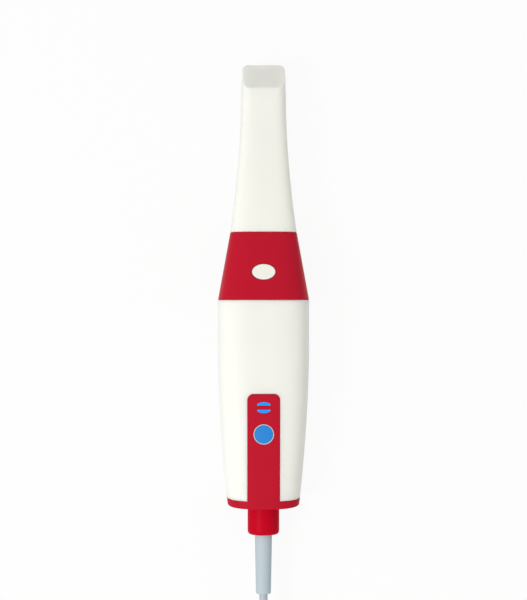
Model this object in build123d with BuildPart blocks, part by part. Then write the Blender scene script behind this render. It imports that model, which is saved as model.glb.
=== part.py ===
from build123d import *
from math import atan, cos, degrees, pi, radians, sin, sqrt, tan
import os

os.makedirs("parts", exist_ok=True)

# Intraoral scanner lying on its back, buttons up, in millimetres.
# The mirror end points along +Y, the cord leaves along -Y, and the origin is
# on the floor, in the symmetry plane, half way along the scanner.

# Lengths of the outside pieces, from the mirror end to the end of the strain relief
tip_length = 73.7
collar_length = 29.7
casing_length = 87.1
band_length = 2.8
gland_length = 13.5
relief_length = 26.3

# Widths and heights of the body where its form changes
handle_width = 40.0
handle_height = 33.0
cap_width = 32.3
cap_height = 26.0
mouth_width = 29.9
mouth_height = 18.0
tip_width = 19.8
tip_height = 14.0
tip_axis_height = 16.5
rest_cut = 0.4
taper_start = 22.0
flare_length = 57.0
taper_power_share = 1.7
flare_power_share = 1.75
handle_corner_share = 3.4
cap_corner_share = 2.8
mouth_corner_share = 3.3
tip_corner_share = 3.6
outline_sides = 28
ring_sides = 24
barrel_sides = 12
pin_sides = 6
tip_station_shares = (0.0, 0.2, 0.45, 0.75, 1.0)
handle_station_shares = (0.0, 0.25, 0.5, 0.75, 1.0)

# Walls, clearances and the reach of every cut past its piece
mouth_wall = 2.4
tip_wall = 1.4
collar_wall = 2.0
casing_wall = 2.2
tip_fit = 0.5
loose_fit = 0.3
close_fit = 0.1
seam_gap = 0.05
overrun = 5.0

# Places along the scanner
overall_length = tip_length + collar_length + casing_length + band_length + gland_length + relief_length
tip_end = overall_length / 2
tip_root = tip_end - tip_length
collar_back = tip_root - collar_length
casing_back = collar_back - casing_length
cap_back = casing_back - band_length
gland_back = cap_back - gland_length
relief_back = gland_back - relief_length
cord_height = cap_height / 2
collar_tilt = degrees(atan((handle_height - tip_axis_height - mouth_height / 2) / collar_length))


def across(station):
    """Plane across the scanner, its own x to the right and its own y upward."""
    return Plane.XZ.offset(-station)


def outline(half_width, half_height, corner_share, inset, sides):
    """Corners of the flats that touch a superellipse at even angles, all moved in by the inset.

    The flats of every outline with the same number of sides face the same ways, so a wall
    between two outlines is made of plane faces and a gap between two of them is even.
    """
    power = corner_share / (corner_share - 1)
    turn = 2 * pi / sides
    reaches = [
        (abs(half_width * cos(turn * side)) ** power + abs(half_height * sin(turn * side)) ** power)
        ** (1 / power) - inset
        for side in range(sides)
    ]
    corners = []
    for side in range(sides):
        before = turn * (side - 1)
        after = turn * side
        right = (reaches[side - 1] * sin(after) - reaches[side] * sin(before)) / sin(turn)
        up = (reaches[side] * cos(before) - reaches[side - 1] * cos(after)) / sin(turn)
        corners.append((right, up))
    return corners


def round_outline(radius, sides):
    """Corners of an even polygon whose flats touch a circle, the first one to the right."""
    corner_radius = radius / cos(pi / sides)
    turns = [2 * pi * side / sides for side in range(sides)]
    return [(corner_radius * cos(turn), corner_radius * sin(turn)) for turn in turns]


def placed(plane, height, corners):
    """Corners of an outline in space, at a height over a plane."""
    return [plane.from_local_coords((right, up, height)) for right, up in corners]


def flat_sided(rings):
    """Solid through rings of as many corners each, closed by a plane face at both ends."""
    faces = [Face(Wire.make_polygon(ring)) for ring in (rings[0], rings[-1])]
    for near, far in zip(rings, rings[1:]):
        for side in range(len(near)):
            corners = (near[side - 1], near[side], far[side], far[side - 1])
            faces.append(Face(Wire.make_polygon(corners)))
    return Solid(Shell(faces))


def turned(plane, profile, sides):
    """Round piece as a flat-sided solid: its profile gives heights over the plane and radii."""
    return flat_sided([placed(plane, height, round_outline(radius, sides)) for height, radius in profile])


def rod(radius, sides, mode=Mode.ADD):
    """Section of a pin, a bore or a tube: an even polygon whose flats touch its circle."""
    return RegularPolygon(radius, sides, major_radius=False, mode=mode)


def handle_share(station):
    """Share of the rear taper that is reached: none in front of its start, 1 at the casing's back."""
    run = max(collar_back - taper_start - station, 0)
    return (run / (casing_length - taper_start)) ** taper_power_share


def handle_section(station):
    """Half width, half height, middle and corner share of the handle and the cap."""
    share = handle_share(station)
    top = handle_height - (handle_height - cap_height) * share
    half_width = (handle_width - (handle_width - cap_width) * share) / 2
    corner = handle_corner_share + (cap_corner_share - handle_corner_share) * share
    return half_width, (top + rest_cut) / 2, (top - rest_cut) / 2, corner


def tip_section(station):
    """The same four values for the tip, which narrows fast behind its mouth and then runs straight."""
    forward = station - tip_root
    share = max(1 - forward / flare_length, 0) ** flare_power_share
    half_width = (tip_width + (mouth_width - tip_width) * share) / 2
    half_height = (tip_height + (mouth_height - tip_height) * share) / 2
    corner = mouth_corner_share + (tip_corner_share - mouth_corner_share) * forward / tip_length
    return half_width, half_height, tip_axis_height, corner


def bore_section(station):
    """The tip's hollow: its wall thins from the mouth to the end."""
    half_width, half_height, middle, corner = tip_section(station)
    wall = mouth_wall + (tip_wall - mouth_wall) * (station - tip_root) / tip_length
    return half_width - wall, half_height - wall, middle, corner


def collar_section(station):
    """Straight lines from the handle's front section to the tip's mouth."""
    share = (station - collar_back) / collar_length
    back = handle_section(collar_back)
    front = tip_section(tip_root)
    return tuple(first + (last - first) * share for first, last in zip(back, front))


def section_ring(section, station, inset):
    """Corners of the section at a station, drawn in by the inset."""
    half_width, half_height, middle, corner_share = section(station)
    corners = outline(half_width, half_height, corner_share, inset, outline_sides)
    return placed(across(station), 0, [(right, middle + up) for right, up in corners])


def lofted(section, stations, inset):
    """Solid through the sections at the stations, each drawn in by the inset."""
    return flat_sided([section_ring(section, station, inset) for station in stations])


def stations_along(start, length, shares):
    """Stations at the shares of a length, from a start towards its end."""
    return [start + length * share for share in shares]


# Outer forms that several pieces share
tip_form = lofted(tip_section, stations_along(tip_root, tip_length, tip_station_shares), 0)
collar_form = lofted(collar_section, (collar_back, tip_root), 0)
handle_stations = stations_along(collar_back, -casing_length, handle_station_shares)
handle_form = lofted(handle_section, handle_stations, 0)
hollow_stations = [collar_back + overrun] + handle_stations + [cap_back]
handle_hollow = lofted(handle_section, hollow_stations, casing_wall)
bore_stations = [tip_root - overrun] + stations_along(tip_root, tip_length, tip_station_shares)

# Scanning tip: one white moulding, bevelled behind its mirror, open at its mouth and its window
bevel_run = 10.1
brow_run = 4.0
brow_drop = 0.9
end_round = 2.2
end_wall = 1.5
bevel_wall = 1.5
window_half_width = 6.6
window_length = 12.0
window_end_wall = 2.8
window_round = 1.5
tip_top = tip_axis_height + tip_height / 2
tip_bottom = tip_axis_height - tip_height / 2
bevel_foot = tip_top - brow_drop - bevel_run
hollow_end = tip_end - end_wall
hollow_foot = bevel_foot - bevel_wall * sqrt(2)
window_front = tip_end - window_end_wall
tip_hollow = lofted(bore_section, bore_stations, 0)

with BuildPart() as bevel_cut:
    with BuildSketch(Plane.YZ):
        with BuildLine():
            Polyline(
                (tip_end + overrun, bevel_foot - overrun),
                (tip_end - bevel_run, tip_top - brow_drop),
                (tip_end - bevel_run - brow_run, tip_top),
                (tip_end - bevel_run - brow_run, tip_top + overrun),
                (tip_end + overrun, tip_top + overrun),
                close=True,
            )
        make_face()
    extrude(amount=tip_width, both=True)

with BuildPart() as hollow_limit:
    with BuildSketch(Plane.YZ):
        with BuildLine():
            Polyline(
                (tip_root - overrun, tip_bottom - overrun),
                (hollow_end, tip_bottom - overrun),
                (hollow_end, hollow_foot + end_wall),
                (tip_end - tip_height - overrun, hollow_foot + tip_height + overrun),
                (tip_root - overrun, hollow_foot + tip_height + overrun),
                close=True,
            )
        make_face()
    extrude(amount=mouth_width, both=True)
    add(tip_hollow, mode=Mode.INTERSECT)

with BuildPart() as tip_shell:
    add(tip_form)
    add(bevel_cut.part, mode=Mode.SUBTRACT)
    with BuildSketch(Plane.XY):
        with Locations((0, tip_end - tip_length / 2)):
            Rectangle(mouth_width, tip_length)
        with Locations((0, tip_end - tip_length / 2)):
            RectangleRounded(tip_width, tip_length, end_round, mode=Mode.SUBTRACT)
        with Locations((0, tip_end - tip_length / 2 - end_round)):
            Rectangle(mouth_width, tip_length, mode=Mode.SUBTRACT)
    extrude(amount=tip_top + overrun, mode=Mode.SUBTRACT)
    add(hollow_limit.part, mode=Mode.SUBTRACT)
    with BuildSketch(Plane.XY):
        with Locations((0, window_front - window_length / 2)):
            RectangleRounded(2 * window_half_width, window_length, window_round)
    extrude(amount=tip_bottom + 2 * tip_wall, mode=Mode.SUBTRACT)
tip_shell.part.label = "tip_shell"
export_step(tip_shell.part, "parts/tip_shell.step")

# Mirror at 45 degrees, its back on the bevelled wall
mirror_thickness = 1.1
mirror_width = 13.0
mirror_height = 8.6
mirror_foot = tip_bottom + tip_wall + loose_fit + end_wall
mirror_plane = Plane(
    origin=(0, tip_end + hollow_foot - mirror_foot, mirror_foot),
    x_dir=(1, 0, 0),
    z_dir=(0, -1, -1),
)

with BuildPart() as tip_mirror:
    with BuildSketch(mirror_plane):
        with Locations((0, mirror_height / sqrt(2))):
            Rectangle(mirror_width, mirror_height * sqrt(2))
    extrude(amount=mirror_thickness)
tip_mirror.part.label = "tip_mirror"
export_step(tip_mirror.part, "parts/tip_mirror.step")

# Nose: the tapered tube that carries the tip and lets the light through
nose_reach = 44.0
nose_root_depth = 8.0
nose_wall = 1.2
nose_flange_thickness = 2.0
nose_flange_border = 2.3
nose_flange_side_border = 1.6
glass_thickness = 1.2
nose_screw_radius = 0.8
nose_head_radius = 1.3
nose_head_height = 1.0
nose_front = tip_root + nose_reach
nose_back = tip_root - nose_root_depth
nose_station_shares = (0.0, 0.5, 1.0)
nose_stations = stations_along(tip_root, nose_reach, nose_station_shares)
nose_long_stations = [tip_root] + stations_along(tip_root, nose_reach + overrun, nose_station_shares)[1:]
nose_half_width, nose_half_height, nose_middle, nose_corner = bore_section(tip_root)
nose_screw_offset = nose_half_height - tip_fit + nose_flange_border / 2


def straight_section(station):
    """The nose's section at the tip's mouth, carried straight back into the collar."""
    return nose_half_width, nose_half_height, nose_middle, nose_corner


def flange_section(station):
    """The nose's root section with a border at the sides and a wider one above and below."""
    return (
        nose_half_width + nose_flange_side_border,
        nose_half_height + nose_flange_border,
        nose_middle,
        nose_corner,
    )


nose_form = lofted(bore_section, nose_stations, tip_fit)
nose_light_way = lofted(bore_section, nose_long_stations, tip_fit + nose_wall)
nose_root_form = lofted(straight_section, (nose_back, tip_root), tip_fit)
nose_root_way = lofted(straight_section, (nose_back - overrun, tip_root), tip_fit + nose_wall)
nose_flange_form = lofted(flange_section, (nose_back, nose_back + nose_flange_thickness), tip_fit)
glass_form = lofted(bore_section, nose_long_stations, tip_fit + nose_wall + seam_gap)

# Seal in a groove round the nose, just ahead of the collar
seal_stand = 0.15
seal_depth = 0.6
seal_width = 1.8
seal_back = tip_root + loose_fit + seal_width / 2
seal_stations = (seal_back, seal_back + seal_width)
seal_outer = lofted(bore_section, seal_stations, tip_fit - seal_stand)
seal_inner = lofted(bore_section, seal_stations, tip_fit + seal_depth)

with BuildPart() as nose_seal:
    add(seal_outer)
    add(seal_inner, mode=Mode.SUBTRACT)
nose_seal.part.label = "nose_seal"
export_step(nose_seal.part, "parts/nose_seal.step")

with BuildPart() as nose_tube:
    add(nose_form)
    add(nose_seal.part, mode=Mode.SUBTRACT)
    add(nose_light_way, mode=Mode.SUBTRACT)
    add(nose_root_form)
    add(nose_flange_form)
    add(nose_root_way, mode=Mode.SUBTRACT)
    with BuildSketch(across(nose_back - overrun)):
        with GridLocations(0, 2 * nose_screw_offset, 1, 2):
            with Locations((0, nose_middle)):
                rod(nose_screw_radius + close_fit, pin_sides)
    extrude(amount=-nose_flange_thickness - 2 * overrun, mode=Mode.SUBTRACT)
nose_tube.part.label = "nose_tube"
export_step(nose_tube.part, "parts/nose_tube.step")

with BuildPart() as nose_window:
    with BuildSketch(across(nose_front)):
        with Locations((0, nose_middle)):
            Rectangle(mouth_width, mouth_height)
    extrude(amount=glass_thickness)
    add(glass_form, mode=Mode.INTERSECT)
nose_window.part.label = "nose_window"
export_step(nose_window.part, "parts/nose_window.step")

# Scan button: an oval key in the sloped top of the collar
scan_length = 7.0
scan_width = 10.4
scan_place = 12.1
scan_stand = 0.35
scan_gap = 0.3
scan_travel = 0.6
key_flange_border = 0.9
key_flange_thickness = 0.7
key_seat_gap = 0.7
plunger_radius = 1.2
plunger_entry = 0.5
switch_size = 4.5
switch_height = 2.0
board_thickness = 0.8
scan_board_length = 10.0
scan_board_width = 20.2
scan_post_offset = 8.2
scan_post_radius = 1.7
small_screw_radius = 0.8
small_head_radius = 1.4
small_head_height = 0.9
small_screw_grip = 2.6
scan_plane = Plane(
    origin=(0, collar_back + scan_place, handle_height - scan_place * tan(radians(collar_tilt))),
    x_dir=(1, 0, 0),
    z_dir=(0, sin(radians(collar_tilt)), cos(radians(collar_tilt))),
)
scan_flange_top = -collar_wall - key_seat_gap
scan_flange_foot = scan_flange_top - key_flange_thickness
scan_switch_top = scan_flange_foot - scan_travel - loose_fit
scan_board_top = scan_switch_top - switch_height

def scan_ring(height, border):
    """Corners of the key's oval at a height over the collar's top, wider by a border."""
    return placed(scan_plane, height, outline(scan_width / 2, scan_length / 2, 2, -border, ring_sides))


with BuildPart() as scan_button:
    add(flat_sided([
        scan_ring(scan_flange_foot, key_flange_border),
        scan_ring(scan_flange_top, key_flange_border),
        scan_ring(scan_flange_top, 0),
        scan_ring(0, 0),
        scan_ring(scan_stand, -scan_stand),
    ]))
scan_button.part.label = "scan_button"
export_step(scan_button.part, "parts/scan_button.step")


def plunger(plane, flange_foot, switch_top):
    """Round pin from the foot of a key down into its switch."""
    with BuildPart() as pin:
        with BuildSketch(plane.offset(switch_top - plunger_entry)):
            rod(plunger_radius, pin_sides)
        extrude(amount=flange_foot - switch_top + plunger_entry)
    return pin.part


def switch_body(plane, switch_top, travel):
    """Square switch with a well for its pin, deep enough for the key's travel."""
    with BuildPart() as body:
        with BuildSketch(plane.offset(switch_top - switch_height)):
            Rectangle(switch_size, switch_size)
        extrude(amount=switch_height)
        with BuildSketch(plane.offset(switch_top)):
            rod(plunger_radius + loose_fit, pin_sides)
        extrude(amount=-plunger_entry - travel - loose_fit, mode=Mode.SUBTRACT)
    return body.part


with BuildPart() as scan_plunger:
    add(plunger(scan_plane, scan_flange_foot, scan_switch_top))
scan_plunger.part.label = "scan_plunger"
export_step(scan_plunger.part, "parts/scan_plunger.step")

with BuildPart() as scan_switch:
    add(switch_body(scan_plane, scan_switch_top, scan_travel))
scan_switch.part.label = "scan_switch"
export_step(scan_switch.part, "parts/scan_switch.step")

with BuildPart() as scan_board:
    with BuildSketch(scan_plane.offset(scan_board_top)):
        Rectangle(scan_board_width, scan_board_length)
        with GridLocations(2 * scan_post_offset, 0, 2, 1):
            rod(small_screw_radius + close_fit, pin_sides, mode=Mode.SUBTRACT)
    extrude(amount=-board_thickness)
scan_board.part.label = "scan_board"
export_step(scan_board.part, "parts/scan_board.step")


def board_screws(plane, board_top, spacing_x, spacing_y, count_x, count_y):
    """Small screws up through a board into the posts above it."""
    with BuildPart() as screws:
        with BuildSketch(plane.offset(board_top - board_thickness)):
            with GridLocations(spacing_x, spacing_y, count_x, count_y):
                rod(small_head_radius, pin_sides)
        extrude(amount=-small_head_height)
        with BuildSketch(plane.offset(board_top - board_thickness)):
            with GridLocations(spacing_x, spacing_y, count_x, count_y):
                rod(small_screw_radius, pin_sides)
        extrude(amount=board_thickness + small_screw_grip)
    return screws.part


with BuildPart() as scan_board_screws:
    add(board_screws(scan_plane, scan_board_top, 2 * scan_post_offset, 0, 2, 1))
scan_board_screws.part.label = "scan_board_screws"
export_step(scan_board_screws.part, "parts/scan_board_screws.step")

# Red collar: a straight tapered ring with a front wall round the nose
front_wall = 2.0
boss_radius = 1.7
collar_hollow_stations = (collar_back - overrun, tip_root - front_wall)
collar_hollow = lofted(collar_section, collar_hollow_stations, collar_wall)
nose_hole = lofted(straight_section, (nose_back - overrun, tip_root + overrun), tip_fit - close_fit)

with BuildPart() as collar:
    add(collar_form)
    add(collar_hollow, mode=Mode.SUBTRACT)
    with BuildSketch(across(tip_root - front_wall)):
        with GridLocations(0, 2 * nose_screw_offset, 1, 2):
            with Locations((0, nose_middle)):
                rod(boss_radius, pin_sides)
    extrude(amount=nose_root_depth - front_wall - nose_flange_thickness)
    with BuildSketch(scan_plane.offset(scan_board_top)):
        with GridLocations(2 * scan_post_offset, 0, 2, 1):
            rod(scan_post_radius, pin_sides)
    extrude(amount=-scan_board_top)
    add(collar_form, mode=Mode.INTERSECT)
    add(nose_hole, mode=Mode.SUBTRACT)
    with BuildSketch(across(nose_back)):
        with GridLocations(0, 2 * nose_screw_offset, 1, 2):
            with Locations((0, nose_middle)):
                rod(nose_head_radius + close_fit, pin_sides)
    extrude(amount=nose_head_height + close_fit, mode=Mode.SUBTRACT)
    with BuildSketch(across(nose_back)):
        with GridLocations(0, 2 * nose_screw_offset, 1, 2):
            with Locations((0, nose_middle)):
                rod(nose_screw_radius, pin_sides)
    extrude(amount=-nose_root_depth + front_wall / 2, mode=Mode.SUBTRACT)
    with BuildSketch(scan_plane.offset(scan_board_top)):
        with GridLocations(2 * scan_post_offset, 0, 2, 1):
            rod(small_screw_radius, pin_sides)
    extrude(amount=small_screw_grip + close_fit, mode=Mode.SUBTRACT)
    add(flat_sided([scan_ring(height, scan_gap) for height in (-collar_wall - overrun, overrun)]),
        mode=Mode.SUBTRACT)
    with BuildSketch(Plane.XY):
        with Locations((0, (collar_back + tip_root) / 2)):
            Rectangle(2 * handle_width, 2 * collar_length)
    extrude(amount=-overrun, mode=Mode.SUBTRACT)
collar.part.label = "collar"
export_step(collar.part, "parts/collar.step")

with BuildPart() as nose_screws:
    with BuildSketch(across(nose_back)):
        with GridLocations(0, 2 * nose_screw_offset, 1, 2):
            with Locations((0, nose_middle)):
                rod(nose_head_radius, pin_sides)
    extrude(amount=nose_head_height)
    with BuildSketch(across(nose_back)):
        with GridLocations(0, 2 * nose_screw_offset, 1, 2):
            with Locations((0, nose_middle)):
                rod(nose_screw_radius, pin_sides)
    extrude(amount=-nose_root_depth + front_wall)
nose_screws.part.label = "nose_screws"
export_step(nose_screws.part, "parts/nose_screws.step")

# Rear cap: the red band behind the casings, with its tongue let into the top casing
tongue_width = 13.8
tongue_length = 46.7
tongue_thickness = 1.1
tongue_round = 2.4
band_edge = 0.9
spigot_length = 5.0
spigot_wall = 1.5
cap_screw_offset = 10.6
cap_screw_radius = 1.0
cap_head_radius = 1.7
cap_head_height = 1.2
stem_radius = 6.0
spigot_form = lofted(handle_section, hollow_stations, casing_wall + close_fit)
spigot_hollow = lofted(handle_section, hollow_stations, casing_wall + close_fit + spigot_wall)


def tongue_prism(border):
    """Upright block over the tongue, its front corners round, wider by a border all round."""
    with BuildPart() as prism:
        with BuildSketch(Plane.XY.offset(cord_height)):
            with Locations((0, casing_back)):
                RectangleRounded(
                    tongue_width + 2 * border, 2 * (tongue_length + border), tongue_round + border
                )
        extrude(amount=handle_height)
        with BuildSketch(across(casing_back)):
            with Locations((0, cord_height)):
                Rectangle(handle_width, 2 * handle_height)
        extrude(amount=2 * tongue_length, mode=Mode.SUBTRACT)
    return prism.part


tongue_floor = lofted(handle_section, handle_stations, tongue_thickness)
recess_floor = lofted(handle_section, handle_stations, tongue_thickness + seam_gap)

# Power key in the tongue, with its light ring, on a plane that follows the falling top
power_place = 29.3
power_radius = 3.95
power_stand = 0.25
power_travel = 0.5
power_gap = 0.2
ring_radius = 4.55
ring_stand = 0.05
power_lead = 1.0
power_station = casing_back + power_place


def top_height(station):
    """Height of the handle's ridge line."""
    half_height, middle = handle_section(station)[1:3]
    return middle + half_height


power_fall = (top_height(power_station + power_lead) - top_height(power_station - power_lead)) / (2 * power_lead)
power_tilt = atan(power_fall)
power_plane = Plane(
    origin=(0, power_station, top_height(power_station)),
    x_dir=(1, 0, 0),
    z_dir=(0, -sin(power_tilt), cos(power_tilt)),
)
ring_flange_top = -casing_wall - key_seat_gap
ring_flange_foot = ring_flange_top - key_flange_thickness
power_flange_top = ring_flange_foot - loose_fit
power_flange_foot = power_flange_top - key_flange_thickness
power_switch_top = power_flange_foot - power_travel - loose_fit
button_board_top = power_switch_top - switch_height

# Two light windows, one arc over the other, on one light guide
arc_span = 6.0
arc_rise = 0.6
arc_thickness = 1.2
arc_end_thickness = 0.85
arc_opening = 2.0
arc_place = 40.75
guide_width = 8.0
guide_length = 6.2
guide_height = 3.0
led_height = 0.6
led_size = 2.0
arc_station = casing_back + arc_place


def arc_window(border):
    """Two thick arcs that bow away from each other, wider by a border all round."""
    half_span = arc_span / 2 + border
    foot = arc_opening / 2 - border
    head = arc_opening / 2 + arc_end_thickness + border
    with BuildSketch(Plane.XY) as windows:
        with BuildLine():
            ThreePointArc(
                (-half_span, head),
                (0, head + arc_rise + arc_thickness - arc_end_thickness),
                (half_span, head),
            )
            Line((half_span, head), (half_span, foot))
            ThreePointArc((half_span, foot), (0, foot + arc_rise), (-half_span, foot))
            Line((-half_span, foot), (-half_span, head))
        make_face()
        mirror(about=Plane.XZ)
    return windows.sketch


def arc_prism(border):
    """The two arcs carried upright through the tongue and the casing."""
    with BuildPart() as prism:
        with BuildSketch(Plane.XY.offset(cord_height)):
            with Locations((0, arc_station)):
                add(arc_window(border))
        extrude(amount=handle_height)
    return prism.part


arc_holes = arc_prism(seam_gap)

with BuildPart() as cap_body:
    add(flat_sided([
        section_ring(handle_section, casing_back, 0),
        section_ring(handle_section, cap_back + band_edge, 0),
        section_ring(handle_section, cap_back, band_edge),
    ]))
    with BuildSketch(across(cap_back)):
        with Locations((0, cord_height)):
            rod(stem_radius + seam_gap, ring_sides)
        with Locations((0, cord_height)):
            with GridLocations(2 * cap_screw_offset, 0, 2, 1):
                rod(cap_screw_radius + close_fit, pin_sides)
    extrude(amount=-band_length - overrun, mode=Mode.SUBTRACT)
    with BuildSketch(across(cap_back)):
        with Locations((0, cord_height)):
            with GridLocations(2 * cap_screw_offset, 0, 2, 1):
                rod(cap_head_radius + close_fit, pin_sides)
    extrude(amount=-cap_head_height, mode=Mode.SUBTRACT)

with BuildPart() as cap_spigot:
    with BuildSketch(across(casing_back)):
        with Locations((0, cord_height)):
            Rectangle(handle_width, 2 * handle_height)
    extrude(amount=-spigot_length)
    add(spigot_form, mode=Mode.INTERSECT)
    add(spigot_hollow, mode=Mode.SUBTRACT)

with BuildPart() as cap_tongue:
    add(handle_form)
    add(tongue_floor, mode=Mode.SUBTRACT)
    add(tongue_prism(0), mode=Mode.INTERSECT)
    add(arc_holes, mode=Mode.SUBTRACT)
    with BuildSketch(power_plane.offset(-casing_wall)):
        rod(ring_radius + seam_gap, ring_sides)
    extrude(amount=casing_wall + overrun, mode=Mode.SUBTRACT)

# Upper and lower casing: one lofted shell, parted along a plane that falls towards the cap
parting_front = handle_height / 2
front_lip = 4.0
lip_root = 3.0
lip_fit = 0.2
lip_wall = 1.4
button_board_width = 12.0
button_board_length = 33.0
button_board_shift = 3.0
button_post_x = 4.2
button_post_y = 14.2
chassis_floor = 7.4
chassis_screw_x = 4.5
chassis_front_place = 38.0
chassis_rear_place = 15.1
chassis_boss_radius = 2.6
chassis_screw_radius = 1.0
lip_form = lofted(collar_section, (collar_back - lip_root, collar_back + front_lip), collar_wall + lip_fit)
lip_hollow = lofted(
    collar_section,
    (collar_back - lip_root - overrun, collar_back + front_lip + overrun),
    collar_wall + lip_fit + lip_wall,
)
parting_drop = degrees(atan((parting_front - cord_height) / casing_length))
parting = Plane(
    origin=(0, collar_back, parting_front),
    x_dir=(1, 0, 0),
    z_dir=(0, -sin(radians(parting_drop)), cos(radians(parting_drop))),
)
button_board_places = [
    (side * button_post_x, button_board_shift + end * button_post_y) for side in (-1, 1) for end in (-1, 1)
]
chassis_screw_places = [
    (side * chassis_screw_x, station)
    for side in (-1, 1)
    for station in (collar_back - chassis_front_place, casing_back + chassis_rear_place)
]

with BuildPart() as casing_lip:
    add(lip_form)
    add(lip_hollow, mode=Mode.SUBTRACT)

with BuildPart() as casing:
    add(handle_form)
    add(handle_hollow, mode=Mode.SUBTRACT)
    add(casing_lip.part)

with BuildPart() as upper_casing:
    add(casing.part)
    split(bisect_by=parting, keep=Keep.TOP)
    with BuildSketch(power_plane.offset(button_board_top)):
        with Locations(*button_board_places):
            rod(scan_post_radius, pin_sides)
    extrude(amount=-button_board_top - tongue_thickness - seam_gap)
    with BuildSketch(power_plane.offset(button_board_top)):
        with Locations(*button_board_places):
            rod(small_screw_radius, pin_sides)
    extrude(amount=small_screw_grip + close_fit, mode=Mode.SUBTRACT)
    add(tongue_prism(close_fit) - recess_floor, mode=Mode.SUBTRACT)
    add(arc_holes, mode=Mode.SUBTRACT)
    with BuildSketch(power_plane.offset(ring_flange_foot)):
        rod(ring_radius + seam_gap, ring_sides)
    extrude(amount=casing_wall + 2 * overrun, mode=Mode.SUBTRACT)
upper_casing.part.label = "upper_casing"
export_step(upper_casing.part, "parts/upper_casing.step")

with BuildPart() as lower_casing:
    add(casing.part)
    split(bisect_by=parting, keep=Keep.BOTTOM)
    with BuildSketch(Plane.XY.offset(casing_wall / 2)):
        with Locations(*chassis_screw_places):
            rod(chassis_boss_radius, pin_sides)
    extrude(amount=chassis_floor - casing_wall / 2)
    with BuildSketch(Plane.XY.offset(chassis_floor)):
        with Locations(*chassis_screw_places):
            rod(chassis_screw_radius, pin_sides)
    extrude(amount=casing_wall - chassis_floor, mode=Mode.SUBTRACT)
    with BuildSketch(Plane.XY):
        Rectangle(2 * handle_width, 2 * overall_length)
    extrude(amount=-overrun, mode=Mode.SUBTRACT)
lower_casing.part.label = "lower_casing"
export_step(lower_casing.part, "parts/lower_casing.step")

# Power key: light ring, key, pin, switch and the board that carries them
with BuildPart() as power_ring:
    with BuildSketch(power_plane.offset(ring_flange_foot)):
        rod(ring_radius + key_flange_border, ring_sides)
    extrude(amount=key_flange_thickness)
    with BuildSketch(power_plane.offset(ring_flange_foot)):
        rod(ring_radius, ring_sides)
    extrude(amount=ring_stand - ring_flange_foot)
    with BuildSketch(power_plane.offset(ring_flange_foot)):
        rod(power_radius + power_gap, ring_sides)
    extrude(amount=ring_stand - ring_flange_foot + overrun, mode=Mode.SUBTRACT)
power_ring.part.label = "power_ring"
export_step(power_ring.part, "parts/power_ring.step")

power_button_profile = [
    (power_flange_foot, power_radius + key_flange_border),
    (power_flange_top, power_radius + key_flange_border),
    (power_flange_top, power_radius),
    (0, power_radius),
    (power_stand, power_radius - power_stand),
]

with BuildPart() as power_button:
    add(turned(power_plane, power_button_profile, ring_sides))
power_button.part.label = "power_button"
export_step(power_button.part, "parts/power_button.step")

with BuildPart() as power_plunger:
    add(plunger(power_plane, power_flange_foot, power_switch_top))
power_plunger.part.label = "power_plunger"
export_step(power_plunger.part, "parts/power_plunger.step")

with BuildPart() as power_switch:
    add(switch_body(power_plane, power_switch_top, power_travel))
power_switch.part.label = "power_switch"
export_step(power_switch.part, "parts/power_switch.step")

with BuildPart() as button_board:
    with BuildSketch(power_plane.offset(button_board_top)):
        with Locations((0, button_board_shift)):
            Rectangle(button_board_width, button_board_length)
        with Locations(*button_board_places):
            rod(small_screw_radius + close_fit, pin_sides, mode=Mode.SUBTRACT)
    extrude(amount=-board_thickness)
button_board.part.label = "button_board"
export_step(button_board.part, "parts/button_board.step")

with BuildPart() as button_board_screws:
    with Locations(power_plane.location * Pos(0, button_board_shift, 0)):
        add(board_screws(Plane.XY, button_board_top, 2 * button_post_x, 2 * button_post_y, 2, 2))
button_board_screws.part.label = "button_board_screws"
export_step(button_board_screws.part, "parts/button_board_screws.step")

# Status light: two small lamps on the button board and the guide over them
arc_lead = (arc_station - power_station) / cos(power_tilt)
led_spacing = arc_opening + arc_thickness
guide_foot = button_board_top + led_height

with BuildPart() as status_leds:
    with BuildSketch(power_plane.offset(button_board_top)):
        with Locations((0, arc_lead)):
            with GridLocations(0, led_spacing, 1, 2):
                Rectangle(led_size, led_size)
    extrude(amount=led_height)
status_leds.part.label = "status_leds"
export_step(status_leds.part, "parts/status_leds.step")

with BuildPart() as status_light_guide:
    add(arc_prism(0))
    add(handle_form, mode=Mode.INTERSECT)
    with BuildSketch(power_plane.offset(guide_foot)):
        Rectangle(handle_width, casing_length)
    extrude(amount=-handle_height, mode=Mode.SUBTRACT)
    with BuildSketch(power_plane.offset(guide_foot)):
        with Locations((0, arc_lead)):
            Rectangle(guide_width, guide_length)
    extrude(amount=guide_height)
status_light_guide.part.label = "status_light_guide"
export_step(status_light_guide.part, "parts/status_light_guide.step")

# Seal round the spigot of the rear cap
cap_seal_width = 1.6
cap_seal_depth = 0.8
cap_seal_back = casing_back + (spigot_length - cap_seal_width) / 2
cap_seal_stations = (cap_seal_back - overrun, cap_seal_back + overrun)
cap_seal_inner = lofted(handle_section, cap_seal_stations, casing_wall + close_fit + cap_seal_depth)

with BuildPart() as cap_seal:
    with BuildSketch(across(cap_seal_back)):
        with Locations((0, cord_height)):
            Rectangle(handle_width, 2 * handle_height)
    extrude(amount=-cap_seal_width)
    add(spigot_form, mode=Mode.INTERSECT)
    add(cap_seal_inner, mode=Mode.SUBTRACT)
cap_seal.part.label = "cap_seal"
export_step(cap_seal.part, "parts/cap_seal.step")

with BuildPart() as rear_cap:
    add(cap_body.part)
    add(cap_spigot.part)
    add(cap_tongue.part)
    add(cap_seal.part, mode=Mode.SUBTRACT)
rear_cap.part.label = "rear_cap"
export_step(rear_cap.part, "parts/rear_cap.step")

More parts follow.
